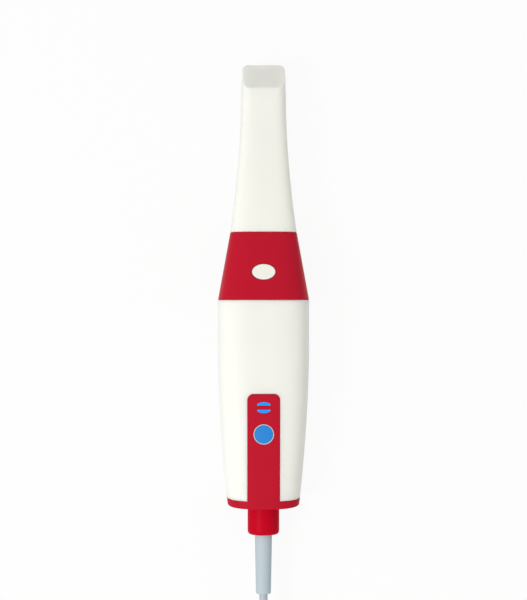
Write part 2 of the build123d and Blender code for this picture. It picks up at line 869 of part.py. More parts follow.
# Chassis: a folded tray behind the optics that carries the boards, with a rear wall for the cap
chassis_reach = 6.0
chassis_half_width = 12.8
chassis_thickness = 1.6
rail_thickness = 1.4
rail_height = 3.0
rear_wall_height = 10.0
rear_wall_thickness = 2.0
lead_hole_radius = 4.0
board_post_radius = 1.6
board_post_height = 3.6
board_post_x = 9.0
main_length = 24.0
board_post_inset = 2.2
clamp_gap = 0.6
clamp_length = 5.0
clamp_width = 13.0
clamp_screw_x = 4.4
clamp_crown = 3.5
lead_slack = 1.7
cord_plug_length = 3.5
chassis_top = chassis_floor + chassis_thickness
chassis_front = collar_back + chassis_reach
chassis_back = casing_back + spigot_length + loose_fit
clamp_middle = chassis_back + rear_wall_thickness + clamp_gap + clamp_length / 2
lead_end = clamp_middle + clamp_length / 2 + lead_slack
main_back = lead_end + cord_plug_length
main_middle = main_back + main_length / 2
main_front = main_back + main_length
main_foot = chassis_top + board_post_height
clamp_top = cord_height + clamp_crown

with BuildPart() as chassis:
    with BuildSketch(Plane.XY.offset(chassis_floor)):
        with Locations((0, (chassis_front + chassis_back) / 2)):
            Rectangle(2 * chassis_half_width, chassis_front - chassis_back)
    extrude(amount=chassis_thickness)
    with BuildSketch(Plane.XY.offset(chassis_top)):
        with Locations((0, (chassis_front + chassis_back) / 2)):
            with GridLocations(2 * chassis_half_width - rail_thickness, 0, 2, 1):
                Rectangle(rail_thickness, chassis_front - chassis_back)
    extrude(amount=rail_height)
    with BuildSketch(Plane.XY.offset(chassis_top)):
        with Locations((0, chassis_back + rear_wall_thickness / 2)):
            Rectangle(2 * chassis_half_width, rear_wall_thickness)
    extrude(amount=rear_wall_height)
    with BuildSketch(Plane.XY.offset(chassis_top)):
        with Locations((0, main_middle)):
            with GridLocations(2 * board_post_x, main_length - 2 * board_post_inset, 2, 2):
                rod(board_post_radius, pin_sides)
    extrude(amount=board_post_height)
    with BuildSketch(Plane.XY.offset(chassis_floor)):
        with Locations(*chassis_screw_places):
            rod(chassis_screw_radius + close_fit, pin_sides)
        with Locations((0, clamp_middle)):
            with GridLocations(2 * clamp_screw_x, 0, 2, 1):
                rod(small_screw_radius, pin_sides)
        with Locations((0, main_middle)):
            with GridLocations(2 * board_post_x, main_length - 2 * board_post_inset, 2, 2):
                rod(small_screw_radius, pin_sides)
    extrude(amount=rear_wall_height, mode=Mode.SUBTRACT)
    with BuildSketch(across(chassis_back)):
        with Locations((0, cord_height)):
            rod(lead_hole_radius, barrel_sides)
            with GridLocations(2 * cap_screw_offset, 0, 2, 1):
                rod(cap_screw_radius, pin_sides)
    extrude(amount=-rear_wall_thickness, mode=Mode.SUBTRACT)
chassis.part.label = "chassis"
export_step(chassis.part, "parts/chassis.step")


def upright_screws(places, seat_height, shank_radius, head_radius, head_height, grip):
    """Screws that stand with their heads on a seat and their shanks below it."""
    with BuildPart() as screws:
        with BuildSketch(Plane.XY.offset(seat_height)):
            with Locations(*places):
                rod(head_radius, pin_sides)
        extrude(amount=head_height)
        with BuildSketch(Plane.XY.offset(seat_height)):
            with Locations(*places):
                rod(shank_radius, pin_sides)
        extrude(amount=-grip)
    return screws.part


chassis_head_radius = 1.9
chassis_head_height = 1.3
chassis_screw_grip = 6.0
main_screw_grip = 3.4
clamp_screw_grip = 8.4
main_post_places = [
    (side * board_post_x, main_middle + end * (main_length / 2 - board_post_inset))
    for side in (-1, 1)
    for end in (-1, 1)
]
clamp_screw_places = [(-clamp_screw_x, clamp_middle), (clamp_screw_x, clamp_middle)]

with BuildPart() as chassis_screws:
    add(upright_screws(chassis_screw_places, chassis_top, chassis_screw_radius,
                       chassis_head_radius, chassis_head_height, chassis_screw_grip))
chassis_screws.part.label = "chassis_screws"
export_step(chassis_screws.part, "parts/chassis_screws.step")

# Optics: a block with a projector between two cameras, their boards and a heat sink
block_front_reach = 4.0
block_length = 24.0
block_half_width = 11.0
projector_radius = 3.5
camera_radius = 3.0
camera_x = 7.3
barrel_wall = 0.7
barrel_seat = 10.0
barrel_reach = 2.4
lens_thickness = 1.6
lens_dome = 0.4
eye_board_height = 13.0
eye_board_gap = 0.4
sink_width = 17.0
sink_length = 8.0
sink_height = 13.0
sink_base = 2.0
fin_count = 6
fin_thickness = 1.2
block_front = collar_back + block_front_reach
block_back = block_front - block_length
block_height = 2 * (tip_axis_height - chassis_top)
eye_edge = (camera_x + projector_radius - camera_radius + eye_board_gap) / 2

with BuildPart() as optics_block:
    with BuildSketch(across(block_back)):
        with Locations((0, tip_axis_height)):
            Rectangle(2 * block_half_width, block_height)
            rod(projector_radius, barrel_sides, mode=Mode.SUBTRACT)
            with GridLocations(2 * camera_x, 0, 2, 1):
                rod(camera_radius, barrel_sides, mode=Mode.SUBTRACT)
    extrude(amount=-block_length)
optics_block.part.label = "optics_block"
export_step(optics_block.part, "parts/optics_block.step")


def barrel(place, radius):
    """Tube pushed into its bore in the block, at a place across it, open at both ends."""
    with BuildPart() as tube:
        with BuildSketch(across(block_front - barrel_seat)):
            with Locations((place, tip_axis_height)):
                rod(radius - seam_gap, barrel_sides)
                rod(radius - barrel_wall, barrel_sides, mode=Mode.SUBTRACT)
        extrude(amount=-barrel_seat - barrel_reach)
    return tube.part


def lens(place, radius):
    """Round lens in the mouth of a barrel, its front face domed by a sloped rim."""
    rim_radius = radius - barrel_wall - seam_gap
    seat = Plane(
        origin=(place, block_front + barrel_reach - lens_thickness, tip_axis_height),
        x_dir=(1, 0, 0),
        z_dir=(0, 1, 0),
    )
    profile = [(0, rim_radius), (lens_thickness - lens_dome, rim_radius), (lens_thickness, rim_radius - lens_dome)]
    return turned(seat, profile, barrel_sides)


def eye_board(low, high):
    """Small board on the back of the block between two places across it."""
    with BuildPart() as board:
        with BuildSketch(across(block_back)):
            with Locations(((low + high) / 2, tip_axis_height)):
                Rectangle(high - low, eye_board_height)
        extrude(amount=board_thickness)
    return board.part


with BuildPart() as projector_barrel:
    add(barrel(0, projector_radius))
projector_barrel.part.label = "projector_barrel"
export_step(projector_barrel.part, "parts/projector_barrel.step")

with BuildPart() as projector_lens:
    add(lens(0, projector_radius))
projector_lens.part.label = "projector_lens"
export_step(projector_lens.part, "parts/projector_lens.step")

with BuildPart() as projector_board:
    add(eye_board(-eye_edge + eye_board_gap, eye_edge - eye_board_gap))
projector_board.part.label = "projector_board"
export_step(projector_board.part, "parts/projector_board.step")

for side, name in ((-1, "left"), (1, "right")):
    with BuildPart() as camera_barrel:
        add(barrel(side * camera_x, camera_radius))
    camera_barrel.part.label = "camera_barrel_" + name
    export_step(camera_barrel.part, "parts/camera_barrel_" + name + ".step")

    with BuildPart() as camera_lens:
        add(lens(side * camera_x, camera_radius))
    camera_lens.part.label = "camera_lens_" + name
    export_step(camera_lens.part, "parts/camera_lens_" + name + ".step")

    with BuildPart() as camera_board:
        add(eye_board(*sorted((side * eye_edge, side * block_half_width))))
    camera_board.part.label = "camera_board_" + name
    export_step(camera_board.part, "parts/camera_board_" + name + ".step")

sink_front = block_back - board_thickness

with BuildPart() as heat_sink:
    with BuildSketch(Plane.XY.offset(chassis_top)):
        with Locations((0, sink_front - sink_base / 2)):
            Rectangle(sink_width, sink_base)
        with Locations((0, sink_front - sink_length / 2)):
            with GridLocations((sink_width - fin_thickness) / (fin_count - 1), 0, fin_count, 1):
                Rectangle(fin_thickness, sink_length)
    extrude(amount=sink_height)
heat_sink.part.label = "heat_sink"
export_step(heat_sink.part, "parts/heat_sink.step")

# Main board with its chips and the socket for the cord
main_half_width = 11.0
processor_size = 11.0
processor_height = 1.4
memory_width = 6.0
memory_length = 5.0
memory_height = 1.0
memory_x = 5.2
chip_row_gap = 8.3
socket_width = 10.0
socket_length = 5.0
socket_height = 3.2
cord_plug_drop = 1.8
main_top = main_foot + board_thickness
processor_place = main_front - board_post_inset - processor_size / 2
memory_place = processor_place - chip_row_gap

with BuildPart() as main_board:
    with BuildSketch(Plane.XY.offset(main_foot)):
        with Locations((0, main_middle)):
            Rectangle(2 * main_half_width, main_length)
        with Locations(*main_post_places):
            rod(small_screw_radius + close_fit, pin_sides, mode=Mode.SUBTRACT)
    extrude(amount=board_thickness)
main_board.part.label = "main_board"
export_step(main_board.part, "parts/main_board.step")

with BuildPart() as board_chips:
    with BuildSketch(Plane.XY.offset(main_top)):
        with Locations((0, processor_place)):
            Rectangle(processor_size, processor_size)
    extrude(amount=processor_height)
    with BuildSketch(Plane.XY.offset(main_top)):
        with Locations((0, memory_place)):
            with GridLocations(2 * memory_x - memory_width / 2, 0, 2, 1):
                Rectangle(memory_width, memory_length)
    extrude(amount=memory_height)
board_chips.part.label = "board_chips"
export_step(board_chips.part, "parts/board_chips.step")

with BuildPart() as main_board_screws:
    add(upright_screws(main_post_places, main_top, small_screw_radius,
                       small_head_radius, small_head_height, main_screw_grip))
main_board_screws.part.label = "main_board_screws"
export_step(main_board_screws.part, "parts/main_board_screws.step")

with BuildPart() as board_socket:
    with BuildSketch(Plane.XY.offset(main_top)):
        with Locations((0, main_back + socket_length / 2)):
            Rectangle(socket_width, socket_length)
    extrude(amount=socket_height)
board_socket.part.label = "board_socket"
export_step(board_socket.part, "parts/board_socket.step")

with BuildPart() as lead_connector:
    with BuildSketch(Plane.XY.offset(main_top - cord_plug_drop)):
        with Locations((0, main_back - cord_plug_length / 2)):
            Rectangle(socket_width, cord_plug_length)
    extrude(amount=socket_height + cord_plug_drop)
lead_connector.part.label = "lead_connector"
export_step(lead_connector.part, "parts/lead_connector.step")

# Rear end: cap screws, gland and its nut, strain relief, and the cord's inner end in its clamp
cord_radius = 1.85
gland_radius = 6.95
gland_edge = 1.4
gland_lip = 3.0
nut_thickness = 3.0
nut_half_flats = 7.4
nut_sides = 6
stem_reach = 0.5
socket_radius = 5.1
relief_root_radius = 3.8
relief_end_radius = 3.3
relief_flange_radius = 5.0
relief_flange_length = 3.0
cap_screw_length = 12.0
stem_front = casing_back + nut_thickness + stem_reach
lip_front = gland_back + gland_lip
relief_front = lip_front + relief_flange_length

with BuildPart() as cap_screws:
    with BuildSketch(across(cap_back + cap_head_height)):
        with Locations((0, cord_height)):
            with GridLocations(2 * cap_screw_offset, 0, 2, 1):
                rod(cap_head_radius, pin_sides)
    extrude(amount=cap_head_height)
    with BuildSketch(across(cap_back + cap_head_height)):
        with Locations((0, cord_height)):
            with GridLocations(2 * cap_screw_offset, 0, 2, 1):
                rod(cap_screw_radius - seam_gap, pin_sides)
    extrude(amount=-cap_screw_length)
cap_screws.part.label = "cap_screws"
export_step(cap_screws.part, "parts/cap_screws.step")

cord_plane = Plane(origin=(0, 0, cord_height), x_dir=(1, 0, 0), z_dir=(0, 1, 0))
gland_profile = [
    (gland_back, gland_radius - gland_edge),
    (gland_back + gland_edge, gland_radius),
    (cap_back, gland_radius),
    (cap_back, stem_radius),
    (stem_front, stem_radius),
]
gland_bore_profile = [
    (gland_back - overrun, relief_root_radius + seam_gap),
    (lip_front, relief_root_radius + seam_gap),
    (lip_front, socket_radius),
    (stem_front + overrun, socket_radius),
]

with BuildPart() as cord_gland:
    add(turned(cord_plane, gland_profile, ring_sides))
    add(turned(cord_plane, gland_bore_profile, ring_sides), mode=Mode.SUBTRACT)
cord_gland.part.label = "cord_gland"
export_step(cord_gland.part, "parts/cord_gland.step")

with BuildPart() as gland_nut:
    with BuildSketch(across(casing_back)):
        with Locations((0, cord_height)):
            rod(nut_half_flats, nut_sides)
            rod(stem_radius + seam_gap, ring_sides, mode=Mode.SUBTRACT)
    extrude(amount=-nut_thickness)
gland_nut.part.label = "gland_nut"
export_step(gland_nut.part, "parts/gland_nut.step")

relief_profile = [
    (relief_back, relief_end_radius),
    (gland_back, relief_root_radius),
    (lip_front, relief_root_radius),
    (lip_front, relief_flange_radius),
    (relief_front, relief_flange_radius),
]

with BuildPart() as strain_relief:
    add(turned(cord_plane, relief_profile, ring_sides))
    with BuildSketch(across(relief_back)):
        with Locations((0, cord_height)):
            rod(cord_radius + seam_gap, barrel_sides)
    extrude(amount=relief_back - relief_front, mode=Mode.SUBTRACT)
strain_relief.part.label = "strain_relief"
export_step(strain_relief.part, "parts/strain_relief.step")

with BuildPart() as inner_lead:
    with BuildSketch(across(relief_back)):
        with Locations((0, cord_height)):
            rod(cord_radius, barrel_sides)
    extrude(amount=relief_back - lead_end)
inner_lead.part.label = "inner_lead"
export_step(inner_lead.part, "parts/inner_lead.step")

with BuildPart() as cord_clamp:
    with BuildSketch(across(clamp_middle - clamp_length / 2)):
        with Locations((0, (chassis_top + clamp_top) / 2)):
            Rectangle(clamp_width, clamp_top - chassis_top)
        with Locations((0, cord_height)):
            rod(cord_radius + seam_gap, barrel_sides, mode=Mode.SUBTRACT)
    extrude(amount=-clamp_length)
    with BuildSketch(Plane.XY.offset(chassis_top)):
        with Locations(*clamp_screw_places):
            rod(small_screw_radius + close_fit, pin_sides)
    extrude(amount=clamp_top - chassis_top, mode=Mode.SUBTRACT)
cord_clamp.part.label = "cord_clamp"
export_step(cord_clamp.part, "parts/cord_clamp.step")

with BuildPart() as clamp_screws:
    add(upright_screws(clamp_screw_places, clamp_top, small_screw_radius - seam_gap,
                       small_head_radius, small_head_height, clamp_screw_grip))
clamp_screws.part.label = "clamp_screws"
export_step(clamp_screws.part, "parts/clamp_screws.step")

# Cord: a short lead, a put-away coil held by a tie, and a tail into its plug
coil_x = -10.0
coil_y = -158.0
inner_turn_radius = 15.0
turns_across = 4
full_layers = 2
nested_layers = 2
tie_width = 8.0
tie_thickness = 0.7
lead_points = [
    (0.0, relief_back, cord_height),
    (0.0, -127.0, 13.0),
    (7.9, -152.5, 12.2),
]
tail_points = [
    (12.4, -158.0, 4.0),
    (12.4, -182.0, 4.0),
]
coil_inner = inner_turn_radius - cord_radius
coil_outer = coil_inner + 2 * cord_radius * turns_across
coil_shoulder = 2 * cord_radius * full_layers
coil_top = coil_shoulder + sqrt(3) * cord_radius * nested_layers
crown_inset = cord_radius * nested_layers


def corner_radii(points):
    """Radius of each corner: 0.45 of its shorter run over the tangent of half the turn."""
    radii = []
    for before, corner, after in zip(points, points[1:], points[2:]):
        run_in = Vector(corner) - Vector(before)
        run_out = Vector(after) - Vector(corner)
        half_turn = radians(run_in.get_angle(run_out) / 2)
        radii.append(0.45 * min(run_in.length, run_out.length) / tan(half_turn))
    return radii


def cord_tube(points):
    """Round tube along straight runs joined by tangent arcs."""
    radii = corner_radii(points)
    print("cord bend radii", [round(radius, 1) for radius in radii])
    with BuildPart() as tube:
        with BuildLine() as route:
            FilletPolyline(*points, radius=radii)
        path = route.wire()
        with BuildSketch(Plane(origin=path @ 0, z_dir=path % 0)):
            rod(cord_radius, barrel_sides)
        sweep(path=path)
    print("cord volume", round(tube.part.volume), round(pi * cord_radius**2 * path.length))
    return tube.part


coil_plane = Plane(origin=(coil_x, coil_y, 0), x_dir=(1, 0, 0), z_dir=(0, 0, 1))
coil_profile = [(0, coil_outer), (coil_shoulder, coil_outer), (coil_top, coil_outer - crown_inset)]
coil_eye_profile = [
    (-overrun, coil_inner),
    (coil_shoulder, coil_inner),
    (coil_top, coil_inner + crown_inset),
    (coil_top + overrun, coil_inner + crown_inset),
]

with BuildPart() as cord_coil:
    add(turned(coil_plane, coil_profile, outline_sides))
    add(turned(coil_plane, coil_eye_profile, outline_sides), mode=Mode.SUBTRACT)
    with BuildSketch(Plane.XY):
        with Locations((coil_x - (coil_inner + coil_outer) / 2, coil_y)):
            Rectangle(2 * coil_inner, tie_width)
    extrude(amount=tie_thickness, mode=Mode.SUBTRACT)
cord_coil.part.label = "cord_coil"
export_step(cord_coil.part, "parts/cord_coil.step")

with BuildPart() as cord_tie:
    with BuildSketch(Plane.XZ.offset(-coil_y + tie_width / 2)):
        with BuildLine():
            Polyline(
                (coil_x - coil_inner + tie_thickness, 0),
                (coil_x - coil_outer - tie_thickness, 0),
                (coil_x - coil_outer - tie_thickness, coil_shoulder + tie_thickness / 2),
                (coil_x - coil_outer + crown_inset - tie_thickness / 2, coil_top + tie_thickness),
                (coil_x - coil_inner - crown_inset + tie_thickness / 2, coil_top + tie_thickness),
                (coil_x - coil_inner + tie_thickness, coil_shoulder + tie_thickness / 2),
                close=True,
            )
        make_face()
    extrude(amount=-tie_width)
    add(cord_coil.part, mode=Mode.SUBTRACT)
cord_tie.part.label = "cord_tie"
export_step(cord_tie.part, "parts/cord_tie.step")

with BuildPart() as cord_lead:
    add(cord_tube(lead_points))
    add(cord_coil.part, mode=Mode.SUBTRACT)
cord_lead.part.label = "cord_lead"
export_step(cord_lead.part, "parts/cord_lead.step")

tail_plane = Plane(origin=tail_points[0], x_dir=(1, 0, 0), z_dir=Vector(tail_points[1]) - Vector(tail_points[0]))

with BuildPart() as cord_tail:
    with BuildSketch(tail_plane):
        rod(cord_radius, barrel_sides)
    extrude(amount=(Vector(tail_points[1]) - Vector(tail_points[0])).length)
    add(cord_coil.part, mode=Mode.SUBTRACT)
cord_tail.part.label = "cord_tail"
export_step(cord_tail.part, "parts/cord_tail.step")

# Flat plug at the cord's far end: soft grip, metal shell and the contact tongue in it
grip_width = 15.5
grip_length = 22.0
grip_height = 8.0
grip_corner_share = 5.0
grip_edge = 0.8
cuff_length = 6.0
cuff_end_radius = 2.6
cuff_root_radius = 3.2
shell_width = 12.0
shell_height = 4.5
shell_length = 18.5
shell_wall = 0.35
contact_height = 1.7
contact_recess = 1.0
plug_x, cuff_back, plug_height = tail_points[-1]
grip_back = cuff_back - cuff_length
shell_root = grip_back - grip_length

plug_plane = Plane(origin=(plug_x, grip_back, plug_height), x_dir=(1, 0, 0), z_dir=(0, -1, 0))


def grip_ring(depth, inset):
    """Corners of the grip's section at a depth behind its cuff, drawn in by the inset."""
    corners = outline(grip_width / 2, grip_height / 2, grip_corner_share, inset, ring_sides)
    return placed(plug_plane, depth, corners)


with BuildPart() as plug_grip:
    add(flat_sided([grip_ring(0, 0), grip_ring(grip_length - grip_edge, 0), grip_ring(grip_length, grip_edge)]))
    add(turned(plug_plane, [(-cuff_length, cuff_end_radius), (0, cuff_root_radius)], ring_sides))
plug_grip.part.label = "plug_grip"
export_step(plug_grip.part, "parts/plug_grip.step")

with BuildPart() as plug_shell:
    with BuildSketch(across(shell_root)):
        with Locations((plug_x, plug_height)):
            Rectangle(shell_width, shell_height)
            Rectangle(shell_width - 2 * shell_wall, shell_height - 2 * shell_wall, mode=Mode.SUBTRACT)
    extrude(amount=shell_length)
plug_shell.part.label = "plug_shell"
export_step(plug_shell.part, "parts/plug_shell.step")

with BuildPart() as plug_contacts:
    with BuildSketch(across(shell_root)):
        with Locations((plug_x, plug_height + (shell_height - contact_height) / 2 - shell_wall)):
            Rectangle(shell_width - 2 * shell_wall, contact_height)
    extrude(amount=shell_length - contact_recess)
plug_contacts.part.label = "plug_contacts"
export_step(plug_contacts.part, "parts/plug_contacts.step")
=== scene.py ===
import math

import bpy
import numpy as np
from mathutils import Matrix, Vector


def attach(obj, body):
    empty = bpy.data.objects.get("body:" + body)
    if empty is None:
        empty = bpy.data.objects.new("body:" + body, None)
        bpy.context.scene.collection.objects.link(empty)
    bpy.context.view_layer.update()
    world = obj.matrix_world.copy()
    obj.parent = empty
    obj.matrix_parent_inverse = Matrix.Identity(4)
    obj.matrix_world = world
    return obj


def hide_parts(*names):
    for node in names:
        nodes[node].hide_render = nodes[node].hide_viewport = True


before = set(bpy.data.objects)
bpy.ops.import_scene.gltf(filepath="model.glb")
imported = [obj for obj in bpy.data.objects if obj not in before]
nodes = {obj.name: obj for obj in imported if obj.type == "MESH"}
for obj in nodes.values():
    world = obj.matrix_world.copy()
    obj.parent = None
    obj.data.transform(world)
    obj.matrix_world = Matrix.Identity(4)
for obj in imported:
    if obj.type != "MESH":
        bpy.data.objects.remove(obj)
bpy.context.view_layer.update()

scene = bpy.context.scene
scene.view_settings.view_transform = "Standard"
mm = 0.001  # sizes are in millimetres, apart from the camera's, the floor's and the lamps'
creaseAngle = 38.0  # degrees, past which an edge shades sharp
print("frame loaded,", len(nodes), "nodes")

# camera above the scanner and a little to its left, the mirror end up in the picture
view = {"above": 0.7165, "middleY": 0.01315, "left": 0.006, "aimHeight": 0.0165, "lens": 95.45,
        "sensor": 36.0, "farthest": 20.0}
cameraData = bpy.data.cameras.new("camera")
cameraData.sensor_width = view["sensor"]
cameraData.lens = view["lens"]
cameraData.clip_end = view["farthest"]
camera = bpy.data.objects.new("camera", cameraData)
camera.location = (-view["left"], view["middleY"], view["above"])
camera.rotation_euler = (0.0, -math.atan(view["left"] / (view["above"] - view["aimHeight"])), 0.0)
scene.collection.objects.link(camera)
scene.camera = camera
print("camera set")


# mesh tools
def gridFaces(rows, columns, wrapRows, wrapColumns):
    # quads between neighbouring rows and columns, the last joined to the first where it wraps
    row = np.arange(rows if wrapRows else rows - 1)[:, None]
    column = np.arange(columns if wrapColumns else columns - 1)[None, :]
    nextRow = (row + 1) % rows
    nextColumn = (column + 1) % columns
    return np.stack([row * columns + column, row * columns + nextColumn,
                     nextRow * columns + nextColumn, nextRow * columns + column], axis=-1).reshape(-1, 4)


def makePiece(name, points, quads, triangles=None, sharpAngle=creaseAngle):
    # one mesh from corner arrays; it is turned outward if its signed volume comes out negative
    points = np.asarray(points, dtype=float) * mm
    triangles = np.zeros((0, 3), dtype=int) if triangles is None else triangles
    halves = np.concatenate([quads[:, [0, 1, 2]], quads[:, [0, 2, 3]], triangles])
    corners = points[halves]
    volume = np.einsum("ij,ij->i", corners[:, 0], np.cross(corners[:, 1], corners[:, 2])).sum()
    if volume < 0:
        quads = quads[:, ::-1]
        triangles = triangles[:, ::-1]
    mesh = bpy.data.meshes.new(name)
    mesh.vertices.add(len(points))
    mesh.vertices.foreach_set("co", points.ravel())
    loops = np.concatenate([quads.ravel(), triangles.ravel()])
    starts = np.concatenate([np.arange(len(quads)) * 4, 4 * len(quads) + np.arange(len(triangles)) * 3])
    mesh.loops.add(len(loops))
    mesh.loops.foreach_set("vertex_index", loops)
    mesh.polygons.add(len(starts))
    mesh.polygons.foreach_set("loop_start", starts)
    mesh.update(calc_edges=True)
    mesh.validate()
    mesh.shade_smooth()
    mesh.set_sharp_from_angle(angle=math.radians(sharpAngle))
    piece = bpy.data.objects.new(name, mesh)
    scene.collection.objects.link(piece)
    return piece


def ringPiece(name, rings, closed=False, sharpAngle=creaseAngle):
    # a skin through closed rings of equal size; open ends get a pole at their middle, or the rows wrap round
    rows, columns = rings.shape[:2]
    points = rings.reshape(-1, 3)
    quads = gridFaces(rows, columns, closed, True)
    if closed:
        return makePiece(name, points, quads, sharpAngle=sharpAngle)
    poles = np.stack([rings[0].mean(axis=0), rings[-1].mean(axis=0)])
    around = np.arange(columns)
    after = (around + 1) % columns
    last = (rows - 1) * columns
    startFan = np.stack([after, around, np.full(columns, rows * columns)], axis=-1)
    endFan = np.stack([last + around, last + after, np.full(columns, rows * columns + 1)], axis=-1)
    fans = np.concatenate([startFan, endFan])
    return makePiece(name, np.concatenate([points, poles]), quads, fans, sharpAngle)


def platePiece(name, top, bottom):
    # two grids of equal size, one over the other, joined round their border
    rows, columns = top.shape[:2]
    upper = gridFaces(rows, columns, False, False)
    lower = upper[:, ::-1] + rows * columns
    edge = np.concatenate([np.arange(columns), np.arange(1, rows) * columns + columns - 1,
                           (rows - 1) * columns + np.arange(columns - 2, -1, -1),
                           np.arange(rows - 2, 0, -1) * columns])
    after = np.roll(edge, -1)
    sides = np.stack([after, edge, edge + rows * columns, after + rows * columns], axis=-1)
    points = np.concatenate([top.reshape(-1, 3), bottom.reshape(-1, 3)])
    return makePiece(name, points, np.concatenate([upper, lower, sides]))


def cutAway(piece, cutters, sharpAngle=creaseAngle):
    # the cutters' space is taken out of the piece, and the cutters go
    for cutter in cutters:
        cut = piece.modifiers.new("cut", "BOOLEAN")
        cut.operation = "DIFFERENCE"
        cut.solver = "MANIFOLD"
        cut.object = cutter
    bpy.context.view_layer.update()
    cutMesh = bpy.data.meshes.new_from_object(piece.evaluated_get(bpy.context.evaluated_depsgraph_get()))
    piece.modifiers.clear()
    oldMesh = piece.data
    piece.data = cutMesh
    cutMesh.name = piece.name
    bpy.data.meshes.remove(oldMesh)
    for cutter in cutters:
        bpy.data.objects.remove(cutter)
    cutMesh.set_sharp_from_angle(angle=math.radians(sharpAngle))


def edgeDrop(distance, radius):
    # how far a rounded edge has fallen at a distance in from the border: a quarter circle
    near = np.clip(radius - distance, 0, radius)
    return radius - np.sqrt(np.maximum(radius ** 2 - near ** 2, 0))


def softMin(first, second, blend):
    # the lesser of two heights, with their crease rounded over the blend
    lowest = np.minimum(first, second)
    return lowest - blend * np.log(np.exp((lowest - first) / blend) + np.exp((lowest - second) / blend))


def ovalRing(halfWidth, halfHeight, power, angle):
    # a superellipse in polar form: one over the root of the sum of the powers, along each angle
    reach = (np.abs(np.cos(angle) / halfWidth) ** power
             + np.abs(np.sin(angle) / halfHeight) ** power) ** (-1 / power)
    return reach * np.cos(angle), reach * np.sin(angle)


def ovalRings(origin, axis, heights, halfWidths, halfLengths, count):
    # ellipses about an axis: each height along it has its half width and half length
    sideways = np.array([1.0, 0.0, 0.0])
    axis = np.array(axis, dtype=float)
    forward = np.cross(axis, sideways)
    angle = np.linspace(0, 2 * np.pi, count, endpoint=False)[None, :, None]
    heights, halfWidths, halfLengths = [np.asarray(values, dtype=float)[:, None, None]
                                        for values in (heights, halfWidths, halfLengths)]
    return (np.array(origin, dtype=float) + heights * axis + halfWidths * np.cos(angle) * sideways
            + halfLengths * np.sin(angle) * forward)


def turnedRings(origin, axis, heights, radii, count):
    # circles about an axis: each height along it has its radius
    return ovalRings(origin, axis, heights, radii, radii, count)


def roundedProfile(corners, radii, steps=8):
    # a profile through corners, each corner replaced by a quadratic curve that starts a radius away
    corners = [np.array(corner, dtype=float) for corner in corners]
    profile = [corners[0][None]]
    for before, corner, after, radius in zip(corners, corners[1:], corners[2:], radii):
        start = corner + (before - corner) * min(radius / np.linalg.norm(before - corner), 0.5)
        end = corner + (after - corner) * min(radius / np.linalg.norm(after - corner), 0.5)
        share = np.linspace(0, 1, steps)[:, None]
        profile.append((1 - share) ** 2 * start + 2 * share * (1 - share) * corner + share ** 2 * end)
    profile.append(corners[-1][None])
    return np.concatenate(profile)


# stations along the scanner, and the sizes of its sections; they follow the solids closely
body = {"tipEnd": 116.55, "tipRoot": 42.85, "collarBack": 13.15, "casingBack": -73.55, "capBack": -76.75,
        "glandBack": -90.25, "reliefBack": -116.55, "axisHeight": 16.5, "cordHeight": 13.0}
handle = {"width": 40.0, "height": 33.0, "underside": 0.4, "straight": 22.0, "fallRun": 65.1,
          "fallPower": 1.7, "narrowing": 7.7, "lowering": 7.0, "power": 3.4, "powerLoss": 0.6}
sleeve = {"width": 19.8, "height": 14.0, "length": 73.7, "skinFlare": 9.4, "boreFlare": 10.1, "rise": 4.0,
          "flareRun": 57.0, "flarePower": 1.75, "power": 3.3, "powerGain": 1.7}


def handleSizes(y):
    # half width, half height, middle height and superellipse power: straight behind the collar, then all fall
    # along a power curve to the cap
    past = np.maximum(body["collarBack"] - handle["straight"] - y, 0)
    share = (past / handle["fallRun"]) ** handle["fallPower"]
    top = handle["height"] - handle["lowering"] * share
    return ((handle["width"] - handle["narrowing"] * share) / 2, (top + handle["underside"]) / 2,
            (top - handle["underside"]) / 2, handle["power"] - handle["powerLoss"] * share)


def tipSizes(y, flare):
    # the same four: a power curve from the mouth, wider by the flare, down to the straight front, while the
    # superellipse power grows in proportion to the way forward
    forward = y - body["tipRoot"]
    share = np.maximum(1 - forward / sleeve["flareRun"], 0) ** sleeve["flarePower"]
    return ((sleeve["width"] + flare * share) / 2, (sleeve["height"] + sleeve["rise"] * share) / 2,
            body["axisHeight"] + 0 * y, sleeve["power"] + sleeve["powerGain"] * forward / sleeve["length"])


def handleTop(x, y):
    # height of the handle's upper surface over a point of the floor: its superellipse solved for the height
    halfWidth, halfHeight, middle, power = handleSizes(y)
    return middle + halfHeight * np.maximum(1 - np.abs(x / halfWidth) ** power, 0) ** (1 / power)


# the joint between casing and cap
seam = {"lean": 0.09, "pivot": 17.0, "from": -58.0, "most": 1.1}


def leaned(points):
    # the cap's two edges lean back at their top, the rear one more; the lean fades out forwards as a cubic
    share = np.clip((seam["from"] - points[..., 1]) / (seam["from"] - body["casingBack"]), 0, seam["most"])
    points = points.copy()
    points[..., 1] -= seam["lean"] * (points[..., 2] - seam["pivot"]) * share ** 3
    return points


def sectionRings(y, sizes, inset, angle):
    # superellipses across the scanner at the stations, each drawn in by its inset
    halfWidth, halfHeight, middle, power = [np.asarray(value, dtype=float)[:, None] for value in sizes]
    inset = np.broadcast_to(inset, y.shape)[:, None]
    right, up = ovalRing(halfWidth - inset, halfHeight - inset, power, angle)
    return np.stack([right, np.broadcast_to(y[:, None], right.shape), middle + up], axis=-1)


# materials; a finish keeps these settings where it names no others
plain = {"grainScale": 2500.0, "grainDetail": 3.0, "grainStrength": 0.15, "grainDepth": 0.00002,
         "patchScale": 60.0, "patchDetail": 2.0, "glossSpread": 0.03, "metallic": 0.0, "coat": 0.0,
         "coatRoughness": 0.1, "specular": 0.5, "subsurface": 0.0, "scatterDepth": 0.002,
         "scatterColour": (1.0, 1.0, 0.9), "glow": 0.0, "glowColour": (1.0, 1.0, 1.0)}


